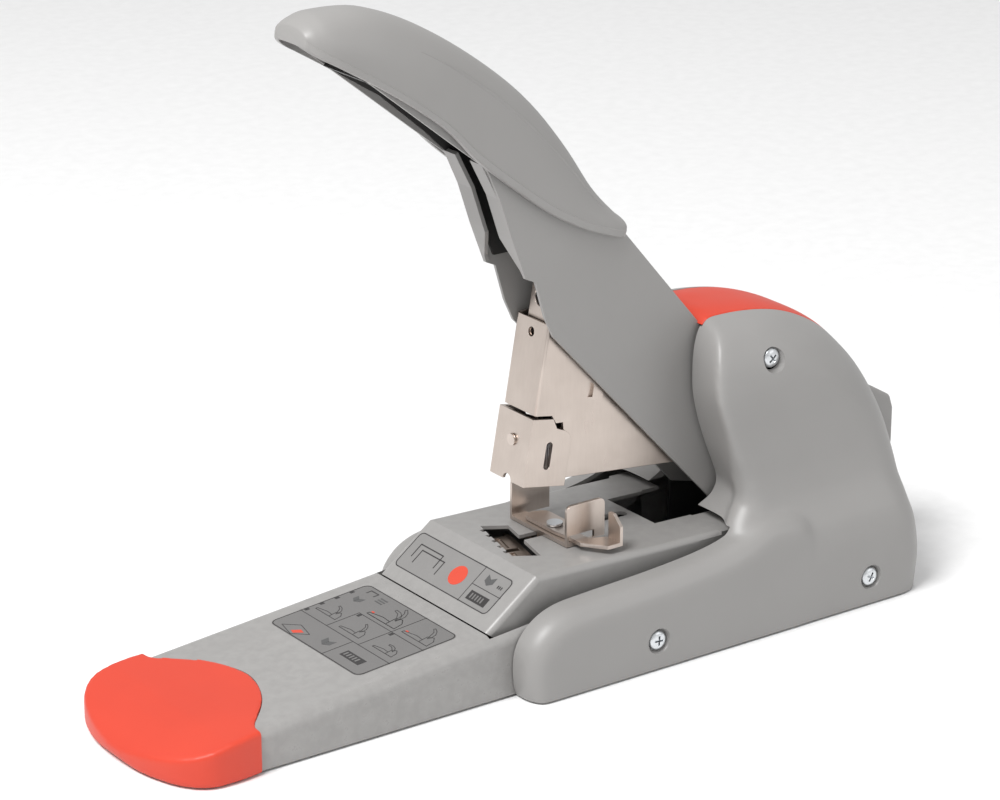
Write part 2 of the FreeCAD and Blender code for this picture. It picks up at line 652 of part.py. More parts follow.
# Stations along the grip: crown point, rim point, half width.
GRIP_STATIONS = [
    ((-101.4, 263.2), (-102.2, 258.4), 9.5),
    ((-97.2, 266.0), (-96.6, 254.4), 14.0),
    ((-90.6, 267.4), (-87.4, 248.6), 16.4),
    ((-72.5, 266.2), (-67.5, 235.6), 17.2),
    ((-51.0, 257.8), (-46.2, 219.5), 17.5),
    ((-26.5, 242.8), (-31.8, 204.6), 17.5),
    ((-3.2, 224.2), (-14.8, 190.4), 17.4),
    ((14.2, 204.0), (1.6, 178.5), 17.2),
    ((27.0, 184.6), (16.4, 170.6), 17.0),
    ((37.0, 173.6), (30.4, 165.2), 17.0),
    ((41.4, 169.4), (38.0, 162.6), 15.4),
]


def grip_section(crown, rim, half, wall):
    """Closed arch: outer curve over the top, inner curve back under it."""
    up = Vector(crown[0] - rim[0], 0, crown[1] - rim[1])
    height = up.Length
    up.normalize()
    foot = Vector(rim[0], 0, rim[1])

    def arch(width, top):
        places = []
        for k in range(9):
            turn = math.pi * k / 8
            reach = math.copysign(abs(math.cos(turn)) ** 0.55, math.cos(turn))
            rise = math.sin(turn) ** 0.75
            places.append(foot + up * (top * rise) + Vector(0, width * reach, 0))
        return places

    outer = Part.BSplineCurve()
    outer.interpolate(arch(half, height))
    inner = Part.BSplineCurve()
    inner.interpolate(arch(half - wall, height - wall))
    left = Part.LineSegment(arch(half, height)[-1], arch(half - wall, height - wall)[-1]).toShape()
    right = Part.LineSegment(arch(half - wall, height - wall)[0], arch(half, height)[0]).toShape()
    return Part.Wire([outer.toShape(), left, inner.toShape(), right])


def grip_cover():
    sections = [grip_section(crown, rim, half, 3.0) for crown, rim, half in GRIP_STATIONS]
    return Part.makeLoft(sections, True, False)


def grip_screws():
    """Screws that hold the grip to the lever's web, from underneath."""
    screws = []
    for x, z in ((-60, 246.9), (-14, 217.0)):
        screws.append(Part.makeCylinder(3.4, 2.0, Vector(x, 0, z), Vector(0.5, 0, 0.86)))
    return Part.makeCompound(screws)


# ---- chassis and axle ----
def chassis_frame():
    plate = slab([(86, 4.5), (146, 4.5), (147, 60, 10), (134, 92, 12), (112, 106, 10), (93, 112, 6),
                  (88, 96), (92, 70), (88, 50)], 17.0, 18.5)
    plate = plate.cut(cross_pin(AXLE_X, AXLE_Z, AXLE_R + FIT, 0, 30))
    floor = box((86, 146), (-18.5, 18.5), (4.5, 6.0))
    return joined(plate, mirrored(plate), floor)


def main_axle():
    return cross_pin(AXLE_X, AXLE_Z, AXLE_R, -21.5, 21.5)


def axle_clips():
    return pair(cross_ring(AXLE_X, AXLE_Z, AXLE_R, 8.0, 18.8, 20.0))


def axle_bushes():
    return pair(cross_ring(AXLE_X, AXLE_Z, AXLE_R + FIT, 9.0, LEVER_HALF + 0.3, 17.0))


def lever_spring():
    """Torsion coil on the axle that lifts the handle, as its outer tube."""
    return cross_ring(AXLE_X, AXLE_Z, AXLE_R + 0.15, 6.2, -7.4, 7.4)


def stop_bar():
    """Cross bar between the chassis plates that stops the raised lever."""
    return cross_pin(101.5, 103.0, 3.0, -17.0, 17.0)


# ---- housing ----
# Level slices of the housing: height, slot lip x, front ridge x, half width, ridge radius,
# rear end x, rear corner's radii along and across.
SHELL_LEVELS = [
    (1.0, 83, 79, 52.5, 8, 162.5, 13, 13),
    (4.0, 83, 79, 53.2, 8, 164.0, 14, 14),
    (10.0, 83, 78, 53.8, 9, 165.4, 14, 14),
    (18.0, 83, 78, 53.9, 9, 165.6, 14, 14),
    (30.0, 83, 76, 53.5, 9, 165.0, 15, 15),
    (38.0, 80, 71, 52.0, 9, 163.5, 16, 17),
    (48.0, 82, 72.5, 47.2, 9, 163.5, 18, 20),
    (54.0, 85, 77, 44.9, 8, 164.0, 19, 22),
    (62.5, 82.1, 76, 42.9, 7, 163.5, 21, 25),
    (71.5, 78.3, 73.6, 41.9, 4.5, 161.5, 23, 27),
    (81.3, 74.8, 70.8, 41.1, 3.2, 158.0, 26, 30),
    (92.0, 72, 67.6, 40.2, 2.6, 152.5, 31, 32),
    (100.0, 71.4, 66.6, 38.9, 2.5, 146.5, 35, 33),
    (109.0, 71.6, 68.3, 36.2, 2.5, 135.5, 36, 30),
    (115.5, 72.6, 71.2, 32.5, 2.4, 124.0, 34, 27),
    (120.0, 74, 74.3, 27.5, 2.2, 112.5, 26, 22),
    (123.5, 75.6, 76.6, 20, 2.2, 101.0, 18, 16),
    (125.6, 77.0, 78.0, 14, 2.0, 93.0, 10, 10),
]
CROWN_LINE = [(74.5, 124.8), (88.0, 126.0), (101.0, 123.5), (112.5, 120.0), (124.0, 115.5), (135.5, 109.0), (146.5, 100.0)]
INSERT_HALF = 17.0
INSERT_FRONT_X = 77.2      # the insert ends here, clear of the raised lever


def shell_level(level, inset):
    """Closed outline of one shell at one height, drawn in by inset."""
    z, lip, ridge, half, corner, rear, along, across = level
    lip += inset
    ridge += inset
    rear -= inset
    half -= inset
    z -= inset * (2 * z / SHELL_LEVELS[-1][0] - 1)
    corner = min(corner, half * 0.25)
    along = min(along, (rear - ridge - corner) * 0.8)
    across = min(across, half * 0.8)
    points = [Vector(lip, half * 0.4, z), Vector((lip + ridge) / 2, half * 0.68, z)]
    for k in range(5):
        turn = math.radians(22.5 * k)
        points.append(Vector(ridge + corner * (1 - math.cos(turn)), half - corner * (1 - math.sin(turn)), z))
    reach = rear - along - ridge - corner
    points += [Vector(ridge + corner + reach * k / 3, half, z) for k in range(1, 3)]
    for k in range(7):
        turn = math.radians(15 * k)
        points.append(Vector(rear - along * (1 - math.sin(turn)), half - across * (1 - math.cos(turn)), z))
    skin = Part.BSplineCurve()
    skin.interpolate(points)
    front_end = Vector(lip, -1, z)
    rear_end = Vector(rear, -1, z)
    straights = [(front_end, points[0]), (points[-1], rear_end), (rear_end, front_end)]
    edges = [Part.LineSegment(first, second).toShape() for first, second in straights]
    return Part.Wire([edges[0], skin.toShape(), edges[1], edges[2]])


def shell_form(inset):
    return Part.makeLoft([shell_level(level, inset) for level in SHELL_LEVELS], True, True)


def arm_outline(inset, y):
    low = DESK_GAP + inset
    points = [(-34.0 + inset, low, 12 - inset), (-34.0 + inset, 34.6 - inset, 17 - inset),
              (38.0, 36.2 - inset), (66.0, 40.0 - inset), (86.0, 44.0 - inset), (104.0 - inset, 42.0 - inset),
              (112.0 - inset, 24.0), (104.0 - inset, low)]
    return outline(points, y)


def bulging_solid(outline_at, half, inset):
    """Extrusion of an outline from the middle plane, rounded over at the outward side."""
    rounding = [(0.0, 9.0), (0.8, 5.4), (2.4, 2.4), (5.0, 0.8), (7.5, 0.0)]
    width = half - inset
    straight = Part.Face(outline_at(inset, 0.0)).extrude(Vector(0, width - 9.0, 0))
    stations = [outline_at(inset + drawn_in, width - below) for drawn_in, below in rounding]
    return joined(straight, Part.makeLoft(stations, True, True))


def left_or_right_housing():
    outer = joined(shell_form(0.0), bulging_solid(arm_outline, 54.5, 0.0))
    hollow = joined(shell_form(SHELL_WALL), bulging_solid(arm_outline, 54.5, SHELL_WALL))
    hollow = hollow.cut(box((140, 200), (-1, 15.6), (0, 36))).cut(box((140, 200), (-1, 15.6), (90, 140)))
    shell = outer.cut(hollow)
    lever_slot = box((0, 150.5), (-1, SHELL_GAP_HALF), (-1, 200))
    tail_slot = box((140, 175), (-1, 15.6), (33, 92))
    base_room = box((-40, BASE_END_X + 1), (-1, BASE_HALF + 0.5), (-1, 33.5))
    table_room = box((-40, 88), (-1, BASE_HALF + 0.5), (-1, 47.5))
    under_insert = [(x, z - 3.6) for x, z in CROWN_LINE]
    insert_room = curved_slab([under_insert, [(170, 150)], [(60, 150)], [(60, 124)]], -1, INSERT_HALF + 0.2)
    for room in (lever_slot, tail_slot, base_room, table_room, insert_room):
        shell = shell.cut(room)
    return shell.cut(box((-60, 200), (-5, 0), (-5, 200)))


def top_insert():
    """Coloured strip that closes the top between the two shells."""
    under = [(x, z - 3.0) for x, z in reversed(CROWN_LINE)]
    band = curved_slab([[(CROWN_LINE[0][0], 150)], [(CROWN_LINE[-1][0], 150)], under], 0, INSERT_HALF + 0.25)
    band = band.cut(box((60, INSERT_FRONT_X), (-1, 20), (100, 160)))
    half = shell_form(0.0).common(band)
    return joined(half, mirrored(half))


SCREW_PLACES = [(95.5, 108.2, 35.6), (134.3, 12.4, 54.3), (26.2, 12.4, 54.3)]


def housing_screws():
    """Pan head screws of one shell, sunk in its side."""
    screws = []
    for x, z, face in SCREW_PLACES:
        head = Part.makeCylinder(4.0, 1.8, Vector(x, face - 1.6, z), Vector(0, 1, 0))
        shank = Part.makeCylinder(2.0, 9.0, Vector(x, face - 10.4, z), Vector(0, 1, 0))
        screws.append(head.fuse(shank).removeSplitter())
    return Part.makeCompound(screws)


def screw_wells(shell):
    for x, z, face in SCREW_PLACES:
        shell = shell.cut(Part.makeCylinder(4.8, 5, Vector(x, face - 1.6, z), Vector(0, 1, 0)))
        shell = shell.cut(Part.makeCylinder(2.0, 14, Vector(x, face - 12, z), Vector(0, 1, 0)))
    return shell


def write_parts():
    shell = screw_wells(left_or_right_housing())
    pieces = {
        "folded_base": folded_base(),
        "nose_cap": nose_cap(),
        "bottom_plate": bottom_plate(),
        "rubber_feet": rubber_feet(),
        "base_angle_strips": base_angle_strips(),
        "table_cover": table_cover(),
        "table_hinge_pins": table_hinge_pins(),
        "table_pin_brackets": table_pin_brackets(),
        "table_springs": table_springs(),
        "anvil_block": anvil_block(),
        "clincher_wing_left": clincher_wing(-1),
        "clincher_wing_right": clincher_wing(1),
        "clincher_pins": clincher_pins(),
        "stop_bracket": stop_bracket(),
        "stop_guide": stop_guide(),
        "stop_rivet": stop_rivet(),
        "stop_release_lever": stop_release_lever(),
        "magazine_channel": magazine_channel(),
        "upper_front_cover": upper_front_cover(),
        "lower_front_cover": lower_front_cover(),
        "cover_rivet": cover_rivet(),
        "magazine_spacer": magazine_spacer(),
        "staple_rail": staple_rail(),
        "staple_strip": staple_strip(),
        "staple_pusher": staple_pusher(),
        "pusher_rod": pusher_rod(),
        "pusher_spring": pusher_spring(),
        "magazine_tail": magazine_tail(),
        "driver_blade": driver_blade(),
        "driver_carrier": driver_carrier(),
        "link_low_pin": link_low_pin(),
        "lever_frame": lever_frame(),
        "lever_liner": lever_liner(),
        "drive_bracket": drive_bracket(),
        "link_top_pin": link_top_pin(),
        "drive_link": drive_link(),
        "grip_cover": grip_cover(),
        "grip_screws": grip_screws(),
        "chassis_frame": chassis_frame(),
        "main_axle": main_axle(),
        "axle_clips": axle_clips(),
        "axle_bushes": axle_bushes(),
        "lever_spring": lever_spring(),
        "stop_bar": stop_bar(),
        "housing_right": shell,
        "housing_left": mirrored(shell),
        "top_insert": top_insert(),
        "screws_right": housing_screws(),
        "screws_left": mirrored(housing_screws()),
    }
    for name, shape in pieces.items():
        save(name, shape)


write_parts()
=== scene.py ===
import math

import bpy
import numpy as np
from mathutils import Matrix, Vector


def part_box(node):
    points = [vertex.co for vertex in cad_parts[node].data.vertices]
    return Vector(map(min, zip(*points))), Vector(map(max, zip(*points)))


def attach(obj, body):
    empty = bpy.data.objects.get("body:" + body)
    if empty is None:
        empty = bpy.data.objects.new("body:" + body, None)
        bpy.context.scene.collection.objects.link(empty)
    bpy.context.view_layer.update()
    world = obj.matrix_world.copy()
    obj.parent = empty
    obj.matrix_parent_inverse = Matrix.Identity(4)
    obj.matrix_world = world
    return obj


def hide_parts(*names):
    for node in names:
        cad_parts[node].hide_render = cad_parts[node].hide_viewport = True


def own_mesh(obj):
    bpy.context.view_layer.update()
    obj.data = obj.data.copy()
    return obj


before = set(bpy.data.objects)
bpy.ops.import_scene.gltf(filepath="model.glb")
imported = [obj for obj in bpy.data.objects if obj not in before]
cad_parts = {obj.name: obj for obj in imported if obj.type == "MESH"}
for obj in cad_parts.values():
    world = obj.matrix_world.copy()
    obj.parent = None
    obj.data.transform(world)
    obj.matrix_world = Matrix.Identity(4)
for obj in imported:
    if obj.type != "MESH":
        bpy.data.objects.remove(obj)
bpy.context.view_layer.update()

# ---- Folded steel base ----
# The long tongue and the sides are one piece of sheet steel, folded and powder coated in a warm
# satin grey. A plate closes it underneath, held by two angle strips, and it stands on rubber feet.


class Value:
    """One output of a material's node, so that shader maths reads as plain sums."""

    def __init__(self, finish, socket):
        self.finish = finish
        self.socket = socket

    def _sum(self, operation, first, second):
        return self.finish.node("Math", {"operation": operation}, {0: first, 1: second})

    def __add__(self, other):
        return self._sum("ADD", self, other)

    def __radd__(self, other):
        return self._sum("ADD", other, self)

    def __sub__(self, other):
        return self._sum("SUBTRACT", self, other)

    def __rsub__(self, other):
        return self._sum("SUBTRACT", other, self)

    def __mul__(self, other):
        return self._sum("MULTIPLY", self, other)

    def __rmul__(self, other):
        return self._sum("MULTIPLY", other, self)


class Finish:
    """A surface finish: a material with one principled shader, built node by node."""

    def __init__(self, name, metallic=0.0):
        self.material = bpy.data.materials.new(name)
        self.material.use_nodes = True
        self.tree = self.material.node_tree
        self.shader = self.tree.nodes["Principled BSDF"]
        self.shader.inputs["Metallic"].default_value = metallic
        self.place = self.node("TexCoord", {}, {}, "Object")

    def node(self, kind, settings, inputs, output=0):
        made = self.tree.nodes.new("ShaderNode" + kind)
        for name, value in settings.items():
            if name == "stops":
                while len(made.color_ramp.elements) < len(value):
                    made.color_ramp.elements.new(0.5)
                for element, (position, shade) in zip(made.color_ramp.elements, value):
                    element.position = position
                    element.color = (shade, shade, shade, 1)
            else:
                setattr(made, name, value)
        for name, value in inputs.items():
            self.set(made.inputs[name], value)
        return Value(self, made.outputs[output])

    def set(self, socket, value):
        if isinstance(value, Value):
            self.tree.links.new(value.socket, socket)
        elif isinstance(value, tuple) and len(value) == 3 and socket.type == "RGBA":
            socket.default_value = (*value, 1)
        else:
            socket.default_value = value

    def noise(self, size, detail=2.0, stretch=(1, 1, 1), rough=0.5):
        """Cloudy pattern from 0 to 1 whose blotches are about size metres across."""
        where = self.node("VectorMath", {"operation": "MULTIPLY"}, {0: self.place, 1: stretch})
        return self.node("TexNoise", {}, {"Vector": where, "Scale": 1 / size,
                                          "Detail": detail, "Roughness": rough})

    def ramp(self, value, *stops):
        return self.node("ValToRGB", {"stops": stops}, {"Fac": value})

    def mix(self, share, first, second):
        """Colour between two colours."""
        return self.node("Mix", {"data_type": "RGBA"}, {0: share, 6: first, 7: second}, 2)

    def worn_edges(self):
        """1 along outer edges that hands and desks rub, 0 elsewhere."""
        bend = self.node("NewGeometry", {}, {}, "Pointiness")
        edges = self.ramp(bend, (0.52, 0), (0.62, 1))
        patches = self.ramp(self.noise(0.004, 3), (0.35, 0), (0.65, 1))
        return edges * patches

    def shade(self, colour, roughness):
        self.set(self.shader.inputs["Base Color"], colour)
        self.set(self.shader.inputs["Roughness"], roughness)

    def bump(self, height, depth):
        """Relief whose full height is depth metres."""
        normal = self.node("Bump", {}, {"Height": height, "Distance": depth, "Strength": 1.0})
        self.set(self.shader.inputs["Normal"], normal)


def coated(name, light, dark, roughness, grain, depth):
    """Satin coat or moulded skin: fine grain, faint clouding and lightly polished edges."""
    finish = Finish(name)
    clouds = finish.noise(0.035, 3)
    specks = finish.noise(grain, 2, rough=0.6)
    edges = finish.worn_edges()
    body = finish.mix(finish.ramp(clouds, (0.3, 0), (0.7, 1)) * 0.6 + specks * 0.4, dark, light)
    rubbed = tuple(min(1.0, c * 1.25) for c in light)
    finish.shade(finish.mix(edges * 0.35, body, rubbed),
                 roughness + clouds * 0.08 + specks * 0.06 - edges * 0.1)
    finish.bump(specks, depth)
    return finish


def sheet_metal(name, light, dark, roughness, drawn, depth=0.000004):
    """Plated steel: faint drawing lines along one direction, clouding and finger smudges."""
    finish = Finish(name, metallic=1.0)
    lines = finish.noise(0.0011, 3, stretch=drawn)
    clouds = finish.noise(0.012, 2)
    smudge = finish.ramp(finish.noise(0.02, 4, rough=0.6), (0.45, 0), (0.7, 1))
    body = finish.mix(clouds * 0.6 + lines * 0.4, dark, light)
    finish.shade(body, roughness + lines * 0.12 + smudge * 0.1)
    finish.bump(lines, depth)
    return finish


def wear(finish, *nodes):
    """Give the finish to whole CAD pieces."""
    for name in nodes:
        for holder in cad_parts[name].material_slots:
            holder.material = finish.material


def soften(width, *nodes):
    """Break the sharp corners of stamped or machined pieces by width metres."""
    for name in nodes:
        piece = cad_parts[name]
        weld = piece.modifiers.new("one_skin", "WELD")
        weld.merge_threshold = 0.000002
        bevel = piece.modifiers.new("broken_corners", "BEVEL")
        bevel.width = width
        bevel.segments = 2
        bevel.limit_method = "ANGLE"
        bevel.angle_limit = math.radians(50)
        bevel.harden_normals = True


GREY_LIGHT = (0.282, 0.275, 0.268)
GREY_DARK = (0.262, 0.255, 0.248)
grey_coat = coated("grey_powder_coat", GREY_LIGHT, GREY_DARK, 0.30, 0.0005, 0.000006)
zinc = sheet_metal("dull_zinc", (0.55, 0.55, 0.54), (0.40, 0.40, 0.40), 0.38, (1, 0.2, 1))
rubber = coated("foot_rubber", (0.035, 0.035, 0.035), (0.018, 0.018, 0.018), 0.7, 0.0008, 0.00004)
wear(grey_coat, "folded_base")
wear(zinc, "bottom_plate", "base_angle_strips")
wear(rubber, "rubber_feet")
soften(0.0003, "bottom_plate", "rubber_feet")


# ---- Instruction label on the tongue ----
# A printed film with rounded corners, ruled into panels. Line drawings show a stapler being
# filled and used, small dark tabs number the steps, and a plain bar stands at the foot.


def new_mesh(name, points, faces, finish, body, smooth=False):
    """A piece from its points and faces, with its finish, moving with its body."""
    mesh = bpy.data.meshes.new(name)
    mesh.from_pydata([tuple(p) for p in points], [], faces)
    mesh.validate()
    mesh.materials.append(finish.material)
    mesh.polygons.foreach_set("use_smooth", [smooth] * len(mesh.polygons))
    piece = bpy.data.objects.new(name, mesh)
    bpy.context.scene.collection.objects.link(piece)
    if body:
        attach(piece, body)
    return piece


def winding(outline):
    """Positive where an outline runs anticlockwise, negative where it runs clockwise."""
    return sum(a[0] * b[1] - b[0] * a[1] for a, b in zip(outline, outline[1:] + outline[:1]))


def stamped(name, outlines, place, low, high, finish, body):
    """Flat printed shapes on a surface, each a thin slab from low to high above it."""
    points = []
    faces = []
    for outline in outlines:
        if winding(outline) < 0:
            outline = outline[::-1]
        first = len(points)
        count = len(outline)
        points += [place(u, v, low) for u, v in outline] + [place(u, v, high) for u, v in outline]
        faces.append(tuple(first + i for i in reversed(range(count))))
        faces.append(tuple(first + count + i for i in range(count)))
        for i in range(count):
            j = (i + 1) % count
            faces.append((first + i, first + j, first + count + j, first + count + i))
    return new_mesh(name, points, faces, finish, body)


def round_corners(width, height, radius):
    """Outline of a rectangle about the middle, its corners rounded."""
    corners = []
    for k, (sx, sy) in enumerate(((1, 1), (-1, 1), (-1, -1), (1, -1))):
        for step in range(6):
            turn = math.radians(90 * k + 18 * step)
            corners.append((sx * (width / 2 - radius) + radius * math.cos(turn),
                            sy * (height / 2 - radius) + radius * math.sin(turn)))
    return corners


def stroke(path, width, closed=False):
    """Thin line as a chain of four-sided shapes."""
    shapes = []
    ends = path[1:] + path[:1] if closed else path[1:]
    for a, b in zip(path, ends):
        along = Vector(b) - Vector(a)
        if along.length < 1e-7:
            continue
        side = Vector((-along.y, along.x)).normalized() * width / 2
        reach = along.normalized() * width * 0.3
        shapes.append([tuple(Vector(a) - reach + side), tuple(Vector(a) - reach - side),
                       tuple(Vector(b) + reach - side), tuple(Vector(b) + reach + side)])
    return shapes


def bar(u, v, width, height):
    """Outline of a plain rectangle about (u, v)."""
    return [(u - width / 2, v - height / 2), (u + width / 2, v - height / 2),
            (u + width / 2, v + height / 2), (u - width / 2, v + height / 2)]


HANDLE_PEN = 0.00028
TOWER_PEN = 0.0003
GROUND_PEN = 0.00032
STAPLE_PEN = 0.0005


def stapler_sign(u, v, size, lift):
    """Line drawing of a stapler seen from the side with its handle raised by lift degrees."""
    def at(x, y):
        return (u + x * size, v + y * size)
    tower = [at(0.18, -0.28), at(0.14, -0.02), at(0.3, 0.06), at(0.44, -0.06), at(0.5, -0.3)]
    lines = stroke([at(-0.5, -0.3), at(-0.5, -0.24), at(-0.1, -0.16), at(0.16, -0.18)], HANDLE_PEN)
    lines += stroke(tower, TOWER_PEN) + stroke([at(-0.5, -0.3), at(0.5, -0.3)], GROUND_PEN)
    turn = math.radians(lift)
    handle = [(0.0, 0.0), (-0.14, 0.1), (-0.3, 0.12), (-0.46, 0.08), (-0.44, 0.03),
              (-0.28, 0.05), (0.02, -0.08)]
    raised = [at(0.24 + x * math.cos(turn) + y * math.sin(turn),
                 0.0 - x * math.sin(turn) + y * math.cos(turn)) for x, y in handle]
    return lines + stroke(raised, HANDLE_PEN, True)


def staple_sign(u, v, width, height):
    """Outline of one staple."""
    return stroke([(u - width / 2, v - height / 2), (u - width / 2, v + height / 2),
                   (u + width / 2, v + height / 2), (u + width / 2, v - height / 2)], STAPLE_PEN)


def folded_sheets_sign(u, v, size):
    """The two leaves of a folded sheet, standing open."""
    leaves = ([(-0.5, 0.4), (0, 0.1), (0, -0.5), (-0.5, -0.2)],
              [(0.02, 0.1), (0.5, 0.4), (0.5, -0.2), (0.02, -0.5)])
    return [[(u + x * size, v + y * size) for x, y in leaf] for leaf in leaves]


TONGUE_SLOPE = 0.09
TONGUE_MIDDLE = Vector((-0.0742, 0.0003, 0.02355))


def on_tongue(u, v, height):
    """Place on the tongue's top: u to the stapler's left, v towards the rear."""
    along = Vector((1, 0, TONGUE_SLOPE)).normalized()
    up = Vector((-TONGUE_SLOPE, 0, 1)).normalized()
    return TONGUE_MIDDLE + Vector((0, -u, 0)) + along * v + up * height


def film(name, colour, roughness):
    """Matt printed film or paint: faint clouding and a fine tooth."""
    finish = Finish(name)
    clouds = finish.noise(0.008, 3)
    tooth = finish.noise(0.0004, 2)
    shade = tuple(c * 0.86 for c in colour)
    finish.shade(finish.mix(clouds * 0.7 + tooth * 0.3, shade, colour), roughness + clouds * 0.1)
    finish.bump(tooth, 0.000004)
    return finish


label_film = film("label_film", (0.165, 0.160, 0.157), 0.34)
label_ink = film("label_ink", (0.028, 0.026, 0.026), 0.4)
label_grey_ink = film("label_grey_ink", (0.085, 0.085, 0.085), 0.4)
label_accent = film("label_accent", (0.62, 0.06, 0.028), 0.4)
LABEL_W = 0.0615
LABEL_L = 0.0462
LABEL_CORNER = 0.003
LABEL_LINE = 0.0003
FRAME_PEN = 0.0004
FRAME_INSET = 0.0006
LABEL_LOW = -0.0001
LABEL_TOP = 0.00014
INK_TOP = 0.0002
PRINT_LOW = LABEL_TOP - 0.00002
OVERPRINT_LOW = INK_TOP - 0.00002
OVERPRINT_TOP = INK_TOP + 0.00004
TAB_W = 0.0016
TAB_L = 0.0019
LEFT_RULE = -0.0125
MIDDLE_RULE = 0.0095
FOOT_RULE = 0.006
stamped("tongue_label", [round_corners(LABEL_W, LABEL_L, LABEL_CORNER)], on_tongue, LABEL_LOW,
        LABEL_TOP, label_film, "base")
front_band = -LABEL_L / 2 + 0.0145
rear_band = LABEL_L / 2 - 0.0165
ruled = stroke(round_corners(LABEL_W - FRAME_INSET, LABEL_L - FRAME_INSET, 0.0028), FRAME_PEN, True)
for start, end in (((-LABEL_W / 2, front_band), (LABEL_W / 2, front_band)),
                   ((LEFT_RULE, rear_band), (LABEL_W / 2, rear_band)),
                   ((LEFT_RULE, rear_band), (LEFT_RULE, front_band)),
                   ((MIDDLE_RULE, rear_band), (MIDDLE_RULE, front_band)),
                   ((MIDDLE_RULE, rear_band), (MIDDLE_RULE, LABEL_L / 2)),
                   ((FOOT_RULE, front_band), (FOOT_RULE, -LABEL_L / 2))):
    ruled += stroke([start, end], LABEL_LINE)
drawings = []
for u, v, size, lift in ((-0.021, 0.0005, 0.0135, 30), (-0.0015, -0.0015, 0.0135, 42),
                         (0.0205, -0.0015, 0.0125, 8), (-0.001, 0.0142, 0.0185, 20),
                         (-0.001, 0.0142, 0.0185, 48), (0.0205, 0.0145, 0.0165, 40)):
    drawings += stapler_sign(u, v, size, lift)
loose_sheet = [(-0.0255, -0.0205), (-0.0165, -0.0225), (-0.0105, -0.0175), (-0.0195, -0.0155)]
drawings += stroke(loose_sheet, HANDLE_PEN, True)
drawings += staple_sign(-0.0225, 0.0195, 0.0048, 0.0024)
ruled += [bar(-0.0295, v, TAB_W, TAB_L) for v in (-0.0065, 0.0005, 0.0075, 0.0145)]
ruled += [bar(u, rear_band - 0.0012, TAB_W, TAB_L) for u in (-0.0108, 0.0112)]
ruled.append(bar(0.0172, -0.0160, 0.0125, 0.0042))
stamped("tongue_label_lines", ruled + drawings, on_tongue, PRINT_LOW, INK_TOP, label_ink,
        "base")
signs = folded_sheets_sign(-0.0005, -0.0158, 0.0056) + folded_sheets_sign(-0.0225, 0.0128, 0.0046)
signs += [bar(-0.0145, 0.0196 - 0.0014 * k, 0.0046, 0.0007) for k in range(3)]
stamped("tongue_label_signs", signs, on_tongue, PRINT_LOW, INK_TOP, label_grey_ink,
        "base")
light_bars = [bar(0.0125 + 0.0019 * k, -0.0160, 0.0009, 0.0024) for k in range(5)]
stamped("tongue_label_bars", light_bars, on_tongue, OVERPRINT_LOW, OVERPRINT_TOP, label_film,
        "base")
sheet_mark = [(-0.0188, -0.0208), (-0.0163, -0.0214), (-0.0135, -0.0183), (-0.0162, -0.0177)]
accents = [sheet_mark, bar(-0.0092, 0.0108, 0.0016, 0.0008), bar(0.0135, 0.0112, 0.0015, 0.0008)]
stamped("tongue_label_accent", accents, on_tongue, PRINT_LOW, INK_TOP, label_accent,
        "base")


# ---- Soft nose cap ----
# An orange-red moulding that wraps the tongue's front end. Its rear edge is a wave across the
# tongue, and its corners are fully rounded.
ORANGE_LIGHT = (0.60, 0.048, 0.020)
ORANGE_DARK = (0.54, 0.040, 0.016)
orange_skin = coated("orange_moulding", ORANGE_LIGHT, ORANGE_DARK, 0.40, 0.0005, 0.00001)
MM = 0.001


def flowing(points, steps, closed=True):
    """Smooth curve through rows of numbers, with steps between neighbours."""
    rows = np.array(points, float)
    count = len(rows)
    drawn = []
    for i in range(count if closed else count - 1):
        near = [rows[(i + k) % count] if closed else rows[min(max(i + k, 0), count - 1)]
                for k in (-1, 0, 1, 2)]
        for k in range(steps):
            t = k / steps
            drawn.append(0.5 * (2 * near[1] + (near[2] - near[0]) * t
                                + (2 * near[0] - 5 * near[1] + 4 * near[2] - near[3]) * t ** 2
                                + (3 * near[1] - near[0] - 3 * near[2] + near[3]) * t ** 3))
    if not closed:
        drawn.append(rows[-1])
    return np.array(drawn)


def stacked(name, rings, finish, body=None, smooth=False):
    """Closed skin through rings of equally many points, capped at both ends."""
    count = len(rings[0])
    points = [p for ring in rings for p in ring]
    faces = [tuple(reversed(range(count)))]
    for level in range(len(rings) - 1):
        for i in range(count):
            j = (i + 1) % count
            a = level * count
            faces.append((a + i, a + j, a + count + j, a + count + i))
    faces.append(tuple((len(rings) - 1) * count + i for i in range(count)))
    return new_mesh(name, points, faces, finish, body, smooth)


def side_prism(outline, low, high):
    """Block with an outline in X and Z (mm), from one Y to another."""
    drawn = outline if winding(outline) < 0 else outline[::-1]
    rings = [[(x * MM, y * MM, z * MM) for x, z in drawn] for y in (low, high)]
    return stacked("block", rings, orange_skin)


def plan_prism(outline, low, high):
    """Block with an outline in X and Y (mm), from one height to another."""
    drawn = outline if winding(outline) > 0 else outline[::-1]
    rings = [[(x * MM, y * MM, z * MM) for x, y in drawn] for z in (low, high)]
    return stacked("block", rings, orange_skin)


def cuboid(x, y, z):
    """Block between two places on each axis (mm)."""
    return plan_prism([(x[0], y[0]), (x[1], y[0]), (x[1], y[1]), (x[0], y[1])], z[0], z[1])


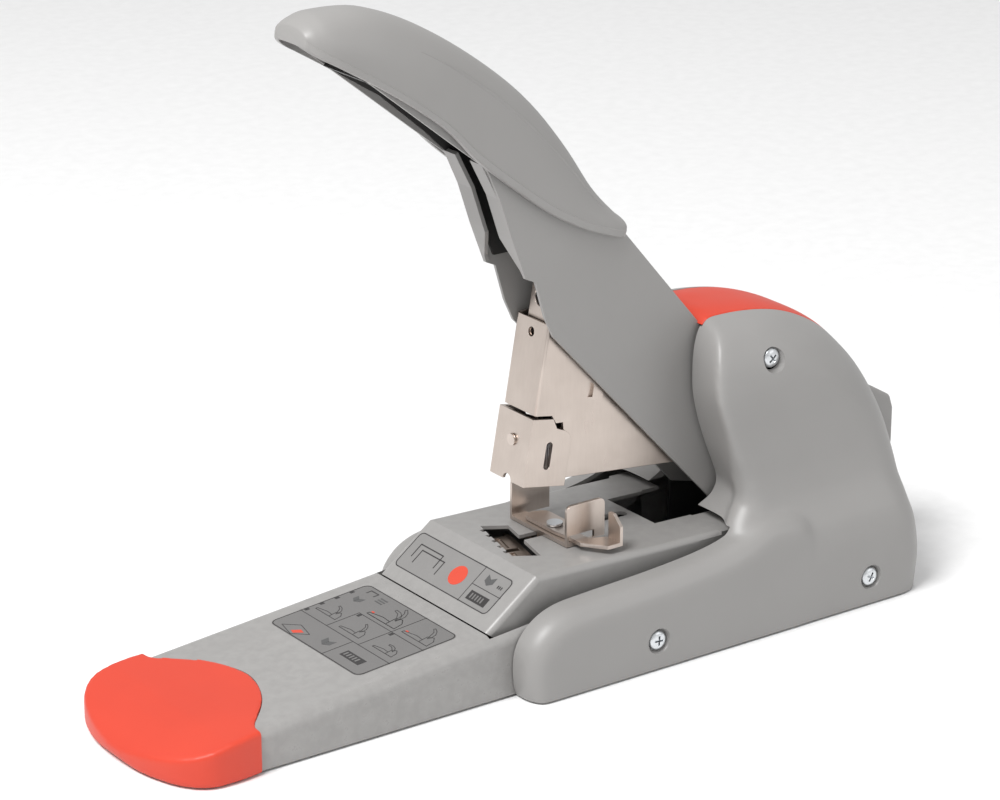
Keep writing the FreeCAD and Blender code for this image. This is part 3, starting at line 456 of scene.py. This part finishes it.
def worked(piece, *steps):
    """Apply shaping steps: (operation, block) cuts, or (voxel, passes) to melt the corners (mm)."""
    for first, second in steps:
        if isinstance(first, str):
            cut = piece.modifiers.new("cut", "BOOLEAN")
            cut.operation = first
            cut.solver = "MANIFOLD"
            cut.object = second
        else:
            cast = piece.modifiers.new("cast", "REMESH")
            cast.mode = "VOXEL"
            cast.voxel_size = first * MM
            melt = piece.modifiers.new("melt", "SMOOTH")
            melt.factor = 0.5
            melt.iterations = second
        bpy.context.view_layer.update()
        result = piece.evaluated_get(bpy.context.evaluated_depsgraph_get())
        shaped = bpy.data.meshes.new_from_object(result)
        piece.modifiers.clear()
        piece.data = shaped
        if isinstance(first, str):
            bpy.data.objects.remove(second)
    return piece


def finished(piece, name, finish, body, slot, *nodes):
    """Name a shaped block, dress it and let it stand for its CAD pieces."""
    piece.name = name
    piece.data.materials.clear()
    piece.data.materials.append(finish.material)
    piece.data.polygons.foreach_set("material_index", [0] * len(piece.data.polygons))
    piece.data.polygons.foreach_set("use_smooth", [True] * len(piece.data.polygons))
    piece.data.set_sharp_from_angle(angle=math.radians(38))
    even = piece.modifiers.new("even_normals", "WEIGHTED_NORMAL")
    even.keep_sharp = True
    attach(piece, body)
    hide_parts(*nodes)
    return piece


def mirrored(half):
    """A half outline in plan, carried on over the middle."""
    return [(x, y) for x, y in half] + [(x, -y) for x, y in half[-2::-1]]


nose_side = [(-120, 0.6), (-120, 19.9), (-149, 17.6), (-160, 16.3), (-169, 14.2), (-176, 11.8),
             (-181, 9.2), (-184.4, 6.2), (-185, 3.6), (-183, 0.6)]
nose_half = flowing([(-120, 42.6), (-146.8, 43.0), (-158, 43.9), (-168.5, 42.6), (-176.5, 35.2),
                     (-181.6, 22.5), (-184.2, 8.5), (-184.8, 0)], 6, closed=False)
nose = worked(side_prism(nose_side, -50, 50),
              ("INTERSECT", plan_prism(mirrored(nose_half), 0.2, 40)), (0.9, 10))
wave = flowing([(-146.8, 44), (-146.2, 37.5), (-141.4, 31.2), (-133.6, 22), (-128.2, 11),
                (-126, 0)], 6, closed=False)
wave_plan = [(-190, 50), (-146.8, 50)] + mirrored(wave) + [(-146.8, -50), (-190, -50)]
nose_under = [(-110, -5), (-110, 18.4), (-147.4, 15.0), (-160, 11.6), (-168, 7.0), (-169, -5)]
nose = worked(nose, ("INTERSECT", plan_prism(wave_plan, -2, 40)),
              ("DIFFERENCE", side_prism(nose_under, -39.6, 39.6)), (0.75, 2))
finished(nose, "nose_cap_moulding", orange_skin, "base", "orange_soft_plastic", "nose_cap")


# ---- Table over the clincher ----
# A folded steel cover in the same grey coat, hinged at its rear on two stub pins and held up by
# two coil springs. The skewed window shows the wings that fold the staple's legs.


COIL_STEPS = 14
WIRE_SIDES = 7


def coil(name, start, finish_point, radius, wire, turns, finish, body, slot, *nodes):
    """Helical wire spring between two points."""
    start = Vector(start)
    along = Vector(finish_point) - start
    side = along.orthogonal().normalized()
    other = along.normalized().cross(side)
    rings = []
    steps = COIL_STEPS * turns
    for k in range(steps + 1):
        turn = 2 * math.pi * k / COIL_STEPS
        out = side * math.cos(turn) + other * math.sin(turn)
        centre = start + along * (k / steps) + out * radius
        up = along.normalized()
        rings.append([centre + (out * math.cos(a) + up * math.sin(a)) * wire
                      for a in (2 * math.pi * i / WIRE_SIDES for i in range(WIRE_SIDES))])
    piece = stacked(name, rings, finish, body, smooth=True)
    if nodes:
        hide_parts(*nodes)
    return piece


bright_zinc = sheet_metal("bright_zinc", (0.80, 0.82, 0.84), (0.58, 0.60, 0.62), 0.22, (1, 1, 0.3))
hardened = sheet_metal("hardened_steel", (0.50, 0.42, 0.36), (0.26, 0.21, 0.18), 0.30, (0.3, 1, 1))
wear(grey_coat, "table_cover")
wear(bright_zinc, "table_hinge_pins", "clincher_pins")
wear(zinc, "table_pin_brackets")
wear(hardened, "anvil_block", "clincher_wing_left", "clincher_wing_right")
soften(0.0003, "anvil_block", "clincher_wing_left", "clincher_wing_right")
low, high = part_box("table_springs")
for side_name, y in (("left", low.y + 0.005), ("right", high.y - 0.005)):
    middle = (low.x + high.x) / 2
    spring = coil("table_spring_" + side_name, (middle, y, low.z + 0.0007),
                  (middle, y, high.z - 0.0007), 0.0043, 0.0006, 9, bright_zinc,
                  "base", "bright_steel", "table_springs")
    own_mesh(spring)


# ---- Label on the table's slope ----
# The same printed film: a large panel with a staple drawing and a plain orange disc, and two
# small panels with a folded-sheet sign and a dark bar.
SLOPE_LOW = Vector((-0.0424, 0.0, 0.0264))
SLOPE_HIGH = Vector((-0.0189, 0.0, 0.0441))
SLOPE_MIDDLE = Vector((-0.0306, 0.0026, 0.0353))


def on_slope(u, v, height):
    """Place on the table's slope: u to the stapler's left, v towards the rear."""
    along = (SLOPE_HIGH - SLOPE_LOW).normalized()
    up = Vector((-along.z, 0, along.x))
    return SLOPE_MIDDLE + Vector((0, -u, 0)) + along * v + up * height


SLOPE_W = 0.0622
SLOPE_L = 0.0176
SLOPE_RULE = 0.0128
DISC_U = 0.0032
DISC_RADIUS = 0.0045
slope_film = film("slope_label_film", (0.235, 0.229, 0.224), 0.34)
stamped("slope_label", [round_corners(SLOPE_W, SLOPE_L, 0.0024)], on_slope, LABEL_LOW, LABEL_TOP,
        slope_film, "table")
ruled = stroke(round_corners(SLOPE_W - FRAME_INSET, SLOPE_L - FRAME_INSET, 0.0022), FRAME_PEN, True)
ruled += stroke([(SLOPE_RULE, -SLOPE_L / 2), (SLOPE_RULE, SLOPE_L / 2)], LABEL_LINE)
ruled += stroke([(SLOPE_RULE, 0.0), (SLOPE_W / 2, 0.0)], LABEL_LINE)
ruled += staple_sign(-0.0185, 0.0008, 0.0150, 0.0062)
ruled += staple_sign(-0.0155, -0.0012, 0.0150, 0.0062)
ruled.append(bar(0.0212, -0.0044, 0.0118, 0.0042))
ruled += [bar(0.0258 + 0.0011 * k, 0.0036, 0.0006, 0.0014) for k in range(3)]
stamped("slope_label_lines", ruled, on_slope, PRINT_LOW, INK_TOP, label_ink,
        "table")
stamped("slope_label_sign", folded_sheets_sign(0.0198, 0.0044, 0.0052), on_slope, PRINT_LOW,
        INK_TOP, label_grey_ink, "table")
light_bars = [bar(0.0172 + 0.0017 * k, -0.0044, 0.0008, 0.0024) for k in range(5)]
stamped("slope_label_bars", light_bars, on_slope, OVERPRINT_LOW, OVERPRINT_TOP, label_film,
        "table")
disc = [(DISC_U + DISC_RADIUS * math.cos(k * math.pi / 16),
         DISC_RADIUS * math.sin(k * math.pi / 16)) for k in range(32)]
stamped("slope_label_disc", [disc], on_slope, PRINT_LOW, INK_TOP, label_accent,
        "table")


# ---- Paper stop ----
# A nickel plated bracket with two upright ears that slides along the table's slot, on a guide
# foot. A small lever riveted to it is squeezed to let it slide.
NICKEL_LIGHT = (0.66, 0.585, 0.53)
NICKEL_DARK = (0.50, 0.43, 0.385)
nickel = sheet_metal("nickel_plate", NICKEL_LIGHT, NICKEL_DARK, 0.24, (1, 1, 0.12))
wear(nickel, "stop_bracket", "stop_guide", "stop_release_lever")
wear(bright_zinc, "stop_rivet")
soften(0.00025, "stop_bracket", "stop_release_lever", "stop_rivet")


# ---- Chassis, axle and springs inside the housing ----
# Two black steel plates stand on the bottom plate. The main axle crosses them and carries the
# head and the lever; plastic bushes keep them central and a torsion coil lifts the lever.
black_coat = coated("black_coat", (0.030, 0.030, 0.031), (0.014, 0.014, 0.014),
                    0.45, 0.0006, 0.00001)
black_moulding = coated("black_moulding", (0.032, 0.031, 0.030), (0.016, 0.015, 0.015),
                        0.42, 0.0004, 0.000012)
wear(black_coat, "chassis_frame", "axle_clips")
wear(bright_zinc, "main_axle")
wear(zinc, "stop_bar")
wear(black_moulding, "axle_bushes")
soften(0.0003, "chassis_frame", "main_axle", "stop_bar")
low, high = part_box("lever_spring")
axle_x = (low.x + high.x) / 2
axle_z = (low.z + high.z) / 2
coil("lever_torsion_coil", (axle_x, low.y + 0.0006, axle_z), (axle_x, high.y - 0.0006, axle_z),
     0.00567, 0.00048, 12, bright_zinc, "base", "bright_steel", "lever_spring")


# ---- Head and magazine ----
# Folded and nickel plated steel: a long channel that holds the staples, an upper front cover
# hooked over it, and a thicker lower cover, slotted at its sides and riveted at its front.
wear(nickel, "magazine_channel", "upper_front_cover", "lower_front_cover", "cover_rivet")
wear(zinc, "magazine_spacer")
soften(0.00025, "magazine_channel", "upper_front_cover", "lower_front_cover", "cover_rivet")


# ---- Staples, rail and pusher ----
# The staples sit glued in a row on a zinc plated rail. A black saddle on a rod pushes them
# forward with a long coil spring, and a grey grip closes the rail's rear end.
FALL = 0.1036
STAPLES = 92
STAPLE_PITCH = 0.00077
STRIP_X = 0.0012
FLOOR_Z = 0.0684 + FALL * (0.01425 - STRIP_X)
wire = sheet_metal("staple_wire", (0.74, 0.74, 0.75), (0.50, 0.50, 0.51), 0.28, (1, 1, 0.3))
wire_section = [(-6.35, 2.1), (-6.35, 13.6), (-5.85, 14.2), (5.85, 14.2), (6.35, 13.6), (6.35, 2.1),
                (5.75, 2.1), (5.75, 13.4), (5.45, 13.65), (-5.45, 13.65), (-5.75, 13.4),
                (-5.75, 2.1)]
rings = []
for k in range(STAPLES):
    for share, shrink in ((0.06, 0.14), (0.25, 0.0), (0.75, 0.0), (0.94, 0.14)):
        x = STRIP_X + (k + share) * STAPLE_PITCH
        rings.append([(x, y * MM - math.copysign(shrink * MM, y) * (abs(y) > 5.8),
                       FLOOR_Z - FALL * (x - STRIP_X) + (z - shrink * (z > 13.5)) * MM)
                      for y, z in wire_section])
strip = stacked("staples_in_strip", rings, wire, "staple_slide")
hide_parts("staple_strip")
wear(zinc, "staple_rail")
wear(black_moulding, "staple_pusher")
wear(bright_zinc, "pusher_rod")
grey_moulding = coated("grey_moulding", GREY_LIGHT, GREY_DARK, 0.34, 0.00045, 0.000010)
wear(grey_moulding, "magazine_tail")
soften(0.0003, "staple_rail", "staple_pusher")
low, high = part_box("pusher_spring")
spring_start = Vector((low.x + 0.0008, 0, high.z - 0.0022))
spring_end = Vector((high.x - 0.0008, 0, low.z + 0.0022))
spring = coil("pusher_coil", spring_start, spring_end, 0.00185, 0.0003, 42, bright_zinc,
              "staple_slide", "bright_steel", "pusher_spring")
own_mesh(spring)


# ---- Staple driver ----
# A hardened blade runs behind the front cover, pushed by a zinc plated block with a fork. A dark
# coated steel link, pinned at both ends, brings the lever's force down to it.
wear(nickel, "driver_blade")
link_coat = coated("link_coat", (0.13, 0.125, 0.12), (0.09, 0.088, 0.085), 0.36, 0.0005, 0.000008)
wear(zinc, "driver_carrier")
wear(link_coat, "drive_link", "drive_bracket")
wear(bright_zinc, "link_low_pin", "link_top_pin")
soften(0.0003, "driver_blade", "driver_carrier", "drive_link", "drive_bracket")


# ---- Handle lever ----
# Folded steel, open underneath, in the grey coat, with a moulded liner inside its front whose black
# is painted shade for the dark inside the channel.
# Bright screws fix the grip to it.
wear(grey_coat, "lever_frame")
# The liner's black is painted shade for the dark inside the lever's front.
wear(black_moulding, "lever_liner")
wear(bright_zinc, "grip_screws")
soften(0.0005, "lever_frame")


# ---- Grip ----
# A deep moulded hood over the lever: a smooth dome, a narrow straight band along its rim, and
# blunt rounded ends. Rows hold the crown and the rim in x and z, and the half width (mm).
GRIP_ROWS = [(-101.6, 262.6, -102.4, 257.6, 8.4), (-100.8, 264.0, -101.2, 256.2, 10.6),
             (-97.2, 266.0, -96.6, 252.9, 13.6), (-90.6, 267.4, -87.4, 247.6, 15.9),
             (-72.5, 266.2, -67.5, 235.4, 17.0), (-51.0, 257.8, -46.2, 220.0, 17.4),
             (-26.5, 242.8, -31.8, 205.4, 17.4), (-3.2, 224.2, -14.8, 191.4, 17.2),
             (14.2, 204.0, 1.6, 179.3, 17.0), (27.0, 184.6, 16.4, 171.0, 16.8),
             (36.0, 174.0, 29.6, 165.6, 16.4), (39.6, 170.6, 36.8, 163.4, 15.2),
             (41.0, 168.8, 38.8, 162.8, 12.5)]
BAND = 3.2
WALL = 2.6
HOOD_STEPS = 24
SIDE_BLUNTNESS = 0.82
TOP_BLUNTNESS = 0.92
TIP_X = -102.4
HOLLOW_RUN = 4
RIM_BULGE = 0.25
RIM_TUCK = 0.3
BAND_EDGE = 0.25


def hood_row(crown_x, crown_z, rim_x, rim_z, half):
    """One cross-section of the hood: outer dome and band, then the inner face back again."""
    up = Vector((crown_x - rim_x, 0, crown_z - rim_z))
    height = up.length
    up.normalize()
    foot = Vector((rim_x, 0, rim_z))
    band = min(BAND, height * 0.45)
    outer = []
    inner = []
    open_share = min(1.0, max(0.05, (foot.x - TIP_X) / HOLLOW_RUN))
    for k in range(HOOD_STEPS + 1):
        turn = math.pi * k / HOOD_STEPS
        reach = math.copysign(abs(math.cos(turn)) ** SIDE_BLUNTNESS, math.cos(turn))
        rise = math.sin(turn) ** TOP_BLUNTNESS
        outer.append(foot + up * (band + (height - band) * rise) + Vector((0, half * reach, 0)))
        inner.append(foot + up * (height - WALL) * rise * open_share
                     + Vector((0, (half - WALL) * reach, 0)))
    edge = Vector((0, half + RIM_BULGE, 0))
    bottom = Vector((0, half - RIM_TUCK, 0))
    start = [foot + bottom, foot + up * 0.5 + edge, foot + up * (band - BAND_EDGE) + edge]
    finish_side = [foot + up * (band - BAND_EDGE) - edge, foot + up * 0.5 - edge, foot - bottom]
    return [p * MM for p in start + outer + finish_side + inner[::-1]]


hood_rows = [hood_row(*row) for row in flowing(GRIP_ROWS, 6, closed=False)]
hood = stacked("grip_hood", hood_rows, grey_moulding, "lever", smooth=True)
hood.data.set_sharp_from_angle(angle=math.radians(34))
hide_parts("grip_cover")


# ---- Housing shells ----
# Two grey mouldings clasp the chassis. Each flows from a tall hump, past the slot for the lever,
# out into a broad foot, and runs forward along the base as a round-ended arm.


SIDE_LEVELS = 8


def swelling(outline, half, depth):
    """Body symmetric about the middle, its outline in X and Z drawn in as it nears each side.

    Each outline row holds x, z and how far that place is drawn in (mm)."""
    rows = flowing(outline, 5)
    ahead = np.roll(rows, -1, axis=0)[:, :2] - np.roll(rows, 1, axis=0)[:, :2]
    ahead /= np.linalg.norm(ahead, axis=1)[:, None]
    inward = np.stack([-ahead[:, 1], ahead[:, 0]], axis=1)
    area = winding(rows.tolist())
    if area < 0:
        inward = -inward
    levels = []
    for k in range(SIDE_LEVELS + 1):
        turn = math.radians(90 * k / SIDE_LEVELS)
        levels.append((half - depth * (1 - math.sin(turn)), 1 - math.cos(turn)))
    levels = [(-y, share) for y, share in reversed(levels)] + levels
    rings = []
    for y, share in levels:
        places = rows[:, :2] + inward * (rows[:, 2:3] * share)
        ring = [(x * MM, y * MM, z * MM) for x, z in places]
        rings.append(ring if area < 0 else ring[::-1])
    return stacked("block", rings, grey_moulding)


SHELL_ROWS = [(-6, 83, 79, 54.4, 8, 164.6, 14, 14), (1, 83, 79, 54.6, 8, 165.6, 14, 14),
              (10, 83, 78, 54.9, 9, 166.4, 14, 14), (18, 83, 78, 55, 9, 166.6, 14, 14),
              (30, 83, 76, 54.3, 9, 165.6, 15, 15), (38, 80, 71, 52.3, 9, 164.2, 16, 17),
              (43, 78.5, 69.5, 49.9, 9, 164, 17, 18), (48, 82, 72.5, 47.4, 9, 164, 18, 20),
              (54, 85, 77, 45.1, 8, 164.5, 19, 22), (62.5, 82.1, 76, 43.2, 7, 164, 21, 25),
              (71.5, 78.3, 73.6, 42.2, 4.5, 162, 23, 27),
              (81.3, 74.8, 70.8, 41.4, 3.2, 158.5, 26, 30), (92, 72, 67.6, 40.5, 2.6, 153, 31, 32),
              (100, 71.4, 66.6, 39.2, 2.5, 147, 35, 33),
              (109, 71.6, 68.3, 36.5, 2.5, 137.5, 37, 30),
              (115.5, 72.6, 71.2, 32.8, 2.4, 127.5, 36, 27),
              (120, 74, 74.3, 27.8, 2.2, 117, 29, 22), (123, 75.6, 76.6, 20.3, 2.2, 106, 21, 16),
              (124.6, 77.5, 78, 13, 2.2, 95, 12, 10), (125.2, 79, 79, 8, 2, 88, 5, 5)]
ARM = [(-24, -6, 4), (-31.4, -1, 5), (-33.9, 6, 7), (-34.2, 14, 8), (-33.4, 19.5, 8),
       (-30.7, 24.6, 8), (-24.6, 30.2, 8), (-16, 33.6, 8), (-4, 34.8, 8), (31, 36.6, 8),
       (55.8, 39.0, 8), (70, 42.4, 9), (84, 48, 10), (104, 44, 10), (112, 24, 10), (104, -4, 6),
       (84, -6, 4)]
CROWN = [(74.5, 123.8), (89, 125), (106, 123), (117, 120), (127.5, 115.5), (137.5, 109), (147, 100)]
SHELL_WALL = 3.0
SLOT_HALF = 15.9
DRAWN_FROM_Z = 63


def shell_block(inset):
    """The housing's outer form from level slices, drawn in by inset mm.

    Each row of SHELL_ROWS holds the height, the slot's front lip, the front ridge, the half
    width, the ridge's radius, the rear end and the rear corner's two radii (mm)."""
    rings = []
    for z, lip, ridge, half, corner, rear, long, wide in flowing(SHELL_ROWS, 4, closed=False):
        lip, ridge, half, rear = lip + inset, ridge + inset, max(half - inset, 3), rear - inset
        side = [(lip, 0), (lip, min(SLOT_HALF, half * 0.4)), (lip * 0.5 + ridge * 0.5, half * 0.68)]
        side += [(ridge + corner * (1 - math.cos(t)), half - corner * (1 - math.sin(t)))
                 for t in (math.radians(15 * k) for k in range(7))]
        reach = rear - long - ridge - corner
        side += [(ridge + corner + reach * k / 4, half) for k in range(1, 4)]
        side += [(rear - long * (1 - math.sin(t)), half - wide * (1 - math.cos(t)))
                 for t in (math.radians(7.5 * k) for k in range(13))]
        level = (z - inset * max(z / DRAWN_FROM_Z - 1, 0)) * MM
        rings.append([(x * MM, -y * MM, level) for x, y in side]
                     + [(x * MM, y * MM, level) for x, y in side[:0:-1]])
    return stacked("block", rings, grey_moulding)


BASE_HALF = 41.75
LEVER_ROOM_HALF = 16
REAR_INSIDE_X = 150.5
FLOOR_GAP = 0.9
housing = worked(shell_block(0), ("UNION", swelling(ARM, 54.8, 9)), (1.2, 14),
                 ("DIFFERENCE", cuboid((-60, 200), (-80, 80), (-20, FLOOR_GAP))))
outer = bpy.data.objects.new("outer", housing.data.copy())
bpy.context.scene.collection.objects.link(outer)
roof_room = [(x, z - 3.4) for x, z in CROWN] + [(152, 95), (175, 150), (60, 150), (60, 121)]
arm_rows = np.array(ARM, float)
arm_low, arm_high = arm_rows[:, :2].min(0), arm_rows[:, :2].max(0)
arm_middle = (arm_low + arm_high) / 2
arm_share = 1 - 2 * SHELL_WALL / (arm_high - arm_low)
arm_rows[:, :2] = arm_middle + (arm_rows[:, :2] - arm_middle) * arm_share
arm_rows[:, 2] = 7
cutters = [shell_block(SHELL_WALL), swelling(arm_rows, 54.5 - SHELL_WALL, 7),
           cuboid((0, REAR_INSIDE_X), (-LEVER_ROOM_HALF, LEVER_ROOM_HALF), (-3, 200)),
           cuboid((140, 175), (-15.6, 15.6), (33, 92)),
           cuboid((-40, 151), (-BASE_HALF, BASE_HALF), (-3, 33.5)),
           cuboid((-40, 88), (-BASE_HALF, BASE_HALF), (-3, 45.0)),
           side_prism(roof_room, -17.2, 17.2)]
housing = worked(housing, *[("DIFFERENCE", block) for block in cutters])
SCREWS = [(95.5, 108.2, 35.6), (134.3, 12.4, 54.6), (26.2, 12.4, 54.4)]
SCREW_WELL = [(4.6, -1.9), (4.6, -0.9), (5.3, 0.3), (5.3, 4.0)]


def lathe_rings(profile, centre, side, count=40):
    """Rings about a line along Y, from (radius, distance outward) pairs in mm."""
    rings = []
    for radius, out in profile:
        ring = []
        for k in range(count):
            turn = -side * 2 * math.pi * k / count
            ring.append(((centre[0] + radius * math.cos(turn)) * MM, (centre[1] + out) * side * MM,
                         (centre[2] + radius * math.sin(turn)) * MM))
        rings.append(ring)
    return rings


for side, side_name in ((1, "right"), (-1, "left")):
    shell = bpy.data.objects.new("half", housing.data.copy())
    bpy.context.scene.collection.objects.link(shell)
    away = cuboid((-60, 200), (-80, 0.1) if side > 0 else (-0.1, 80), (-20, 200))
    steps = [("DIFFERENCE", away)]
    for x, z, face in SCREWS:
        well = lathe_rings(SCREW_WELL, (x, face, z), side)
        steps.append(("DIFFERENCE", stacked("block", well, grey_moulding)))
    worked(shell, *steps)
    finished(shell, "shell_" + side_name, grey_moulding, "base", "grey_plastic",
             "housing_" + side_name)
bpy.data.objects.remove(housing)


# ---- Orange insert in the top ----
# A curved strip moulded in the nose cap's plastic. It closes the housing's top between the two
# shells and follows their outer form.
insert_room = [(x + 0.3, z - 3.0) for x, z in CROWN]
insert_room += [(REAR_INSIDE_X, 94), (175, 150), (74.8, 150)]
insert = worked(outer, ("INTERSECT", side_prism(insert_room, -17, 17)), (0.7, 2))
finished(insert, "top_insert_moulding", orange_skin, "base", "orange_soft_plastic", "top_insert")


# ---- Housing screws ----
# Six bright zinc pan head screws with a star-cross recess, three in each shell, each sunk in a
# shallow round well.
PAN_HEAD = [(2.0, -8.0), (2.0, -1.5), (3.95, -1.5), (4.0, -1.1), (3.95, -0.4), (3.6, 0.15),
            (2.9, 0.5), (1.9, 0.72), (0.7, 0.8)]


HEAD_SUNK = 0.5


def star(centre, side, turned):
    """Cross-shaped tapered plug that cuts a screw's recess."""
    rings = []
    for out, grow in ((-0.9, 0.62), (1.4, 1.1)):
        ring = []
        for k in range(16):
            arm = (0.5, 2.15, 2.15, 0.5)[k % 4] * grow
            swing = (-45, -13, 13, 45)[k % 4]
            turn = -side * math.radians(90 * (k // 4) + swing + turned)
            ring.append(((centre[0] + arm * math.cos(turn)) * MM, (centre[1] + out) * side * MM,
                         (centre[2] + arm * math.sin(turn)) * MM))
        rings.append(ring)
    return stacked("block", rings, bright_zinc)


for side, side_name in ((1, "right"), (-1, "left")):
    for number, (x, z, face) in enumerate(SCREWS, 1):
        centre = (x, face - HEAD_SUNK, z)
        screw = stacked("block", lathe_rings(PAN_HEAD, centre, side), bright_zinc)
        worked(screw, ("DIFFERENCE", star(centre, side, 17 + 23 * number)))
        finished(screw, "screw_%s_%d" % (side_name, number), bright_zinc, "base", "bright_steel",
                 "screws_" + side_name)


# ---- Table top, light and camera ----
# A plain pale floor with soft light from a large window on the left and a fill from the right.
# The camera stands ahead of the stapler, to its left and above it.
floor_finish = film("pale_floor", (0.93, 0.93, 0.93), 0.6)
floor = new_mesh("floor", [(-6, -6, 0), (6, -6, 0), (6, 6, 0), (-6, 6, 0)], [(0, 1, 2, 3)],
                 floor_finish, None)
world = bpy.data.worlds.new("studio")
bpy.context.scene.world = world
world.use_nodes = True
world.node_tree.nodes["Background"].inputs["Color"].default_value = (1.0, 1.0, 1.0, 1)
world.node_tree.nodes["Background"].inputs["Strength"].default_value = 0.66


def soft_light(name, place, aim, size, power):
    """Square lamp of size metres, turned to face aim."""
    lamp = bpy.data.lights.new(name, "AREA")
    lamp.energy = power
    lamp.size = size
    holder = bpy.data.objects.new(name, lamp)
    holder.location = place
    holder.rotation_euler = (Vector(aim) - Vector(place)).to_track_quat("-Z", "Y").to_euler()
    bpy.context.scene.collection.objects.link(holder)


soft_light("window", (-0.9, -0.2, 1.5), (0, 0, 0.1), 0.7, 30)
soft_light("fill", (0.9, -1.4, 0.8), (0.05, 0, 0.08), 1.0, 3)
camera_data = bpy.data.cameras.new("camera")
camera_data.lens = 126.0
camera_data.sensor_width = 36.0
camera = bpy.data.objects.new("camera", camera_data)
camera.location = (-0.7434, -1.0222, 0.5666)
camera.rotation_euler = (math.radians(90 - 20.23), 0, math.radians(-35.65))
bpy.context.scene.collection.objects.link(camera)
bpy.context.scene.camera = camera
bpy.context.scene.view_settings.view_transform = "Standard"
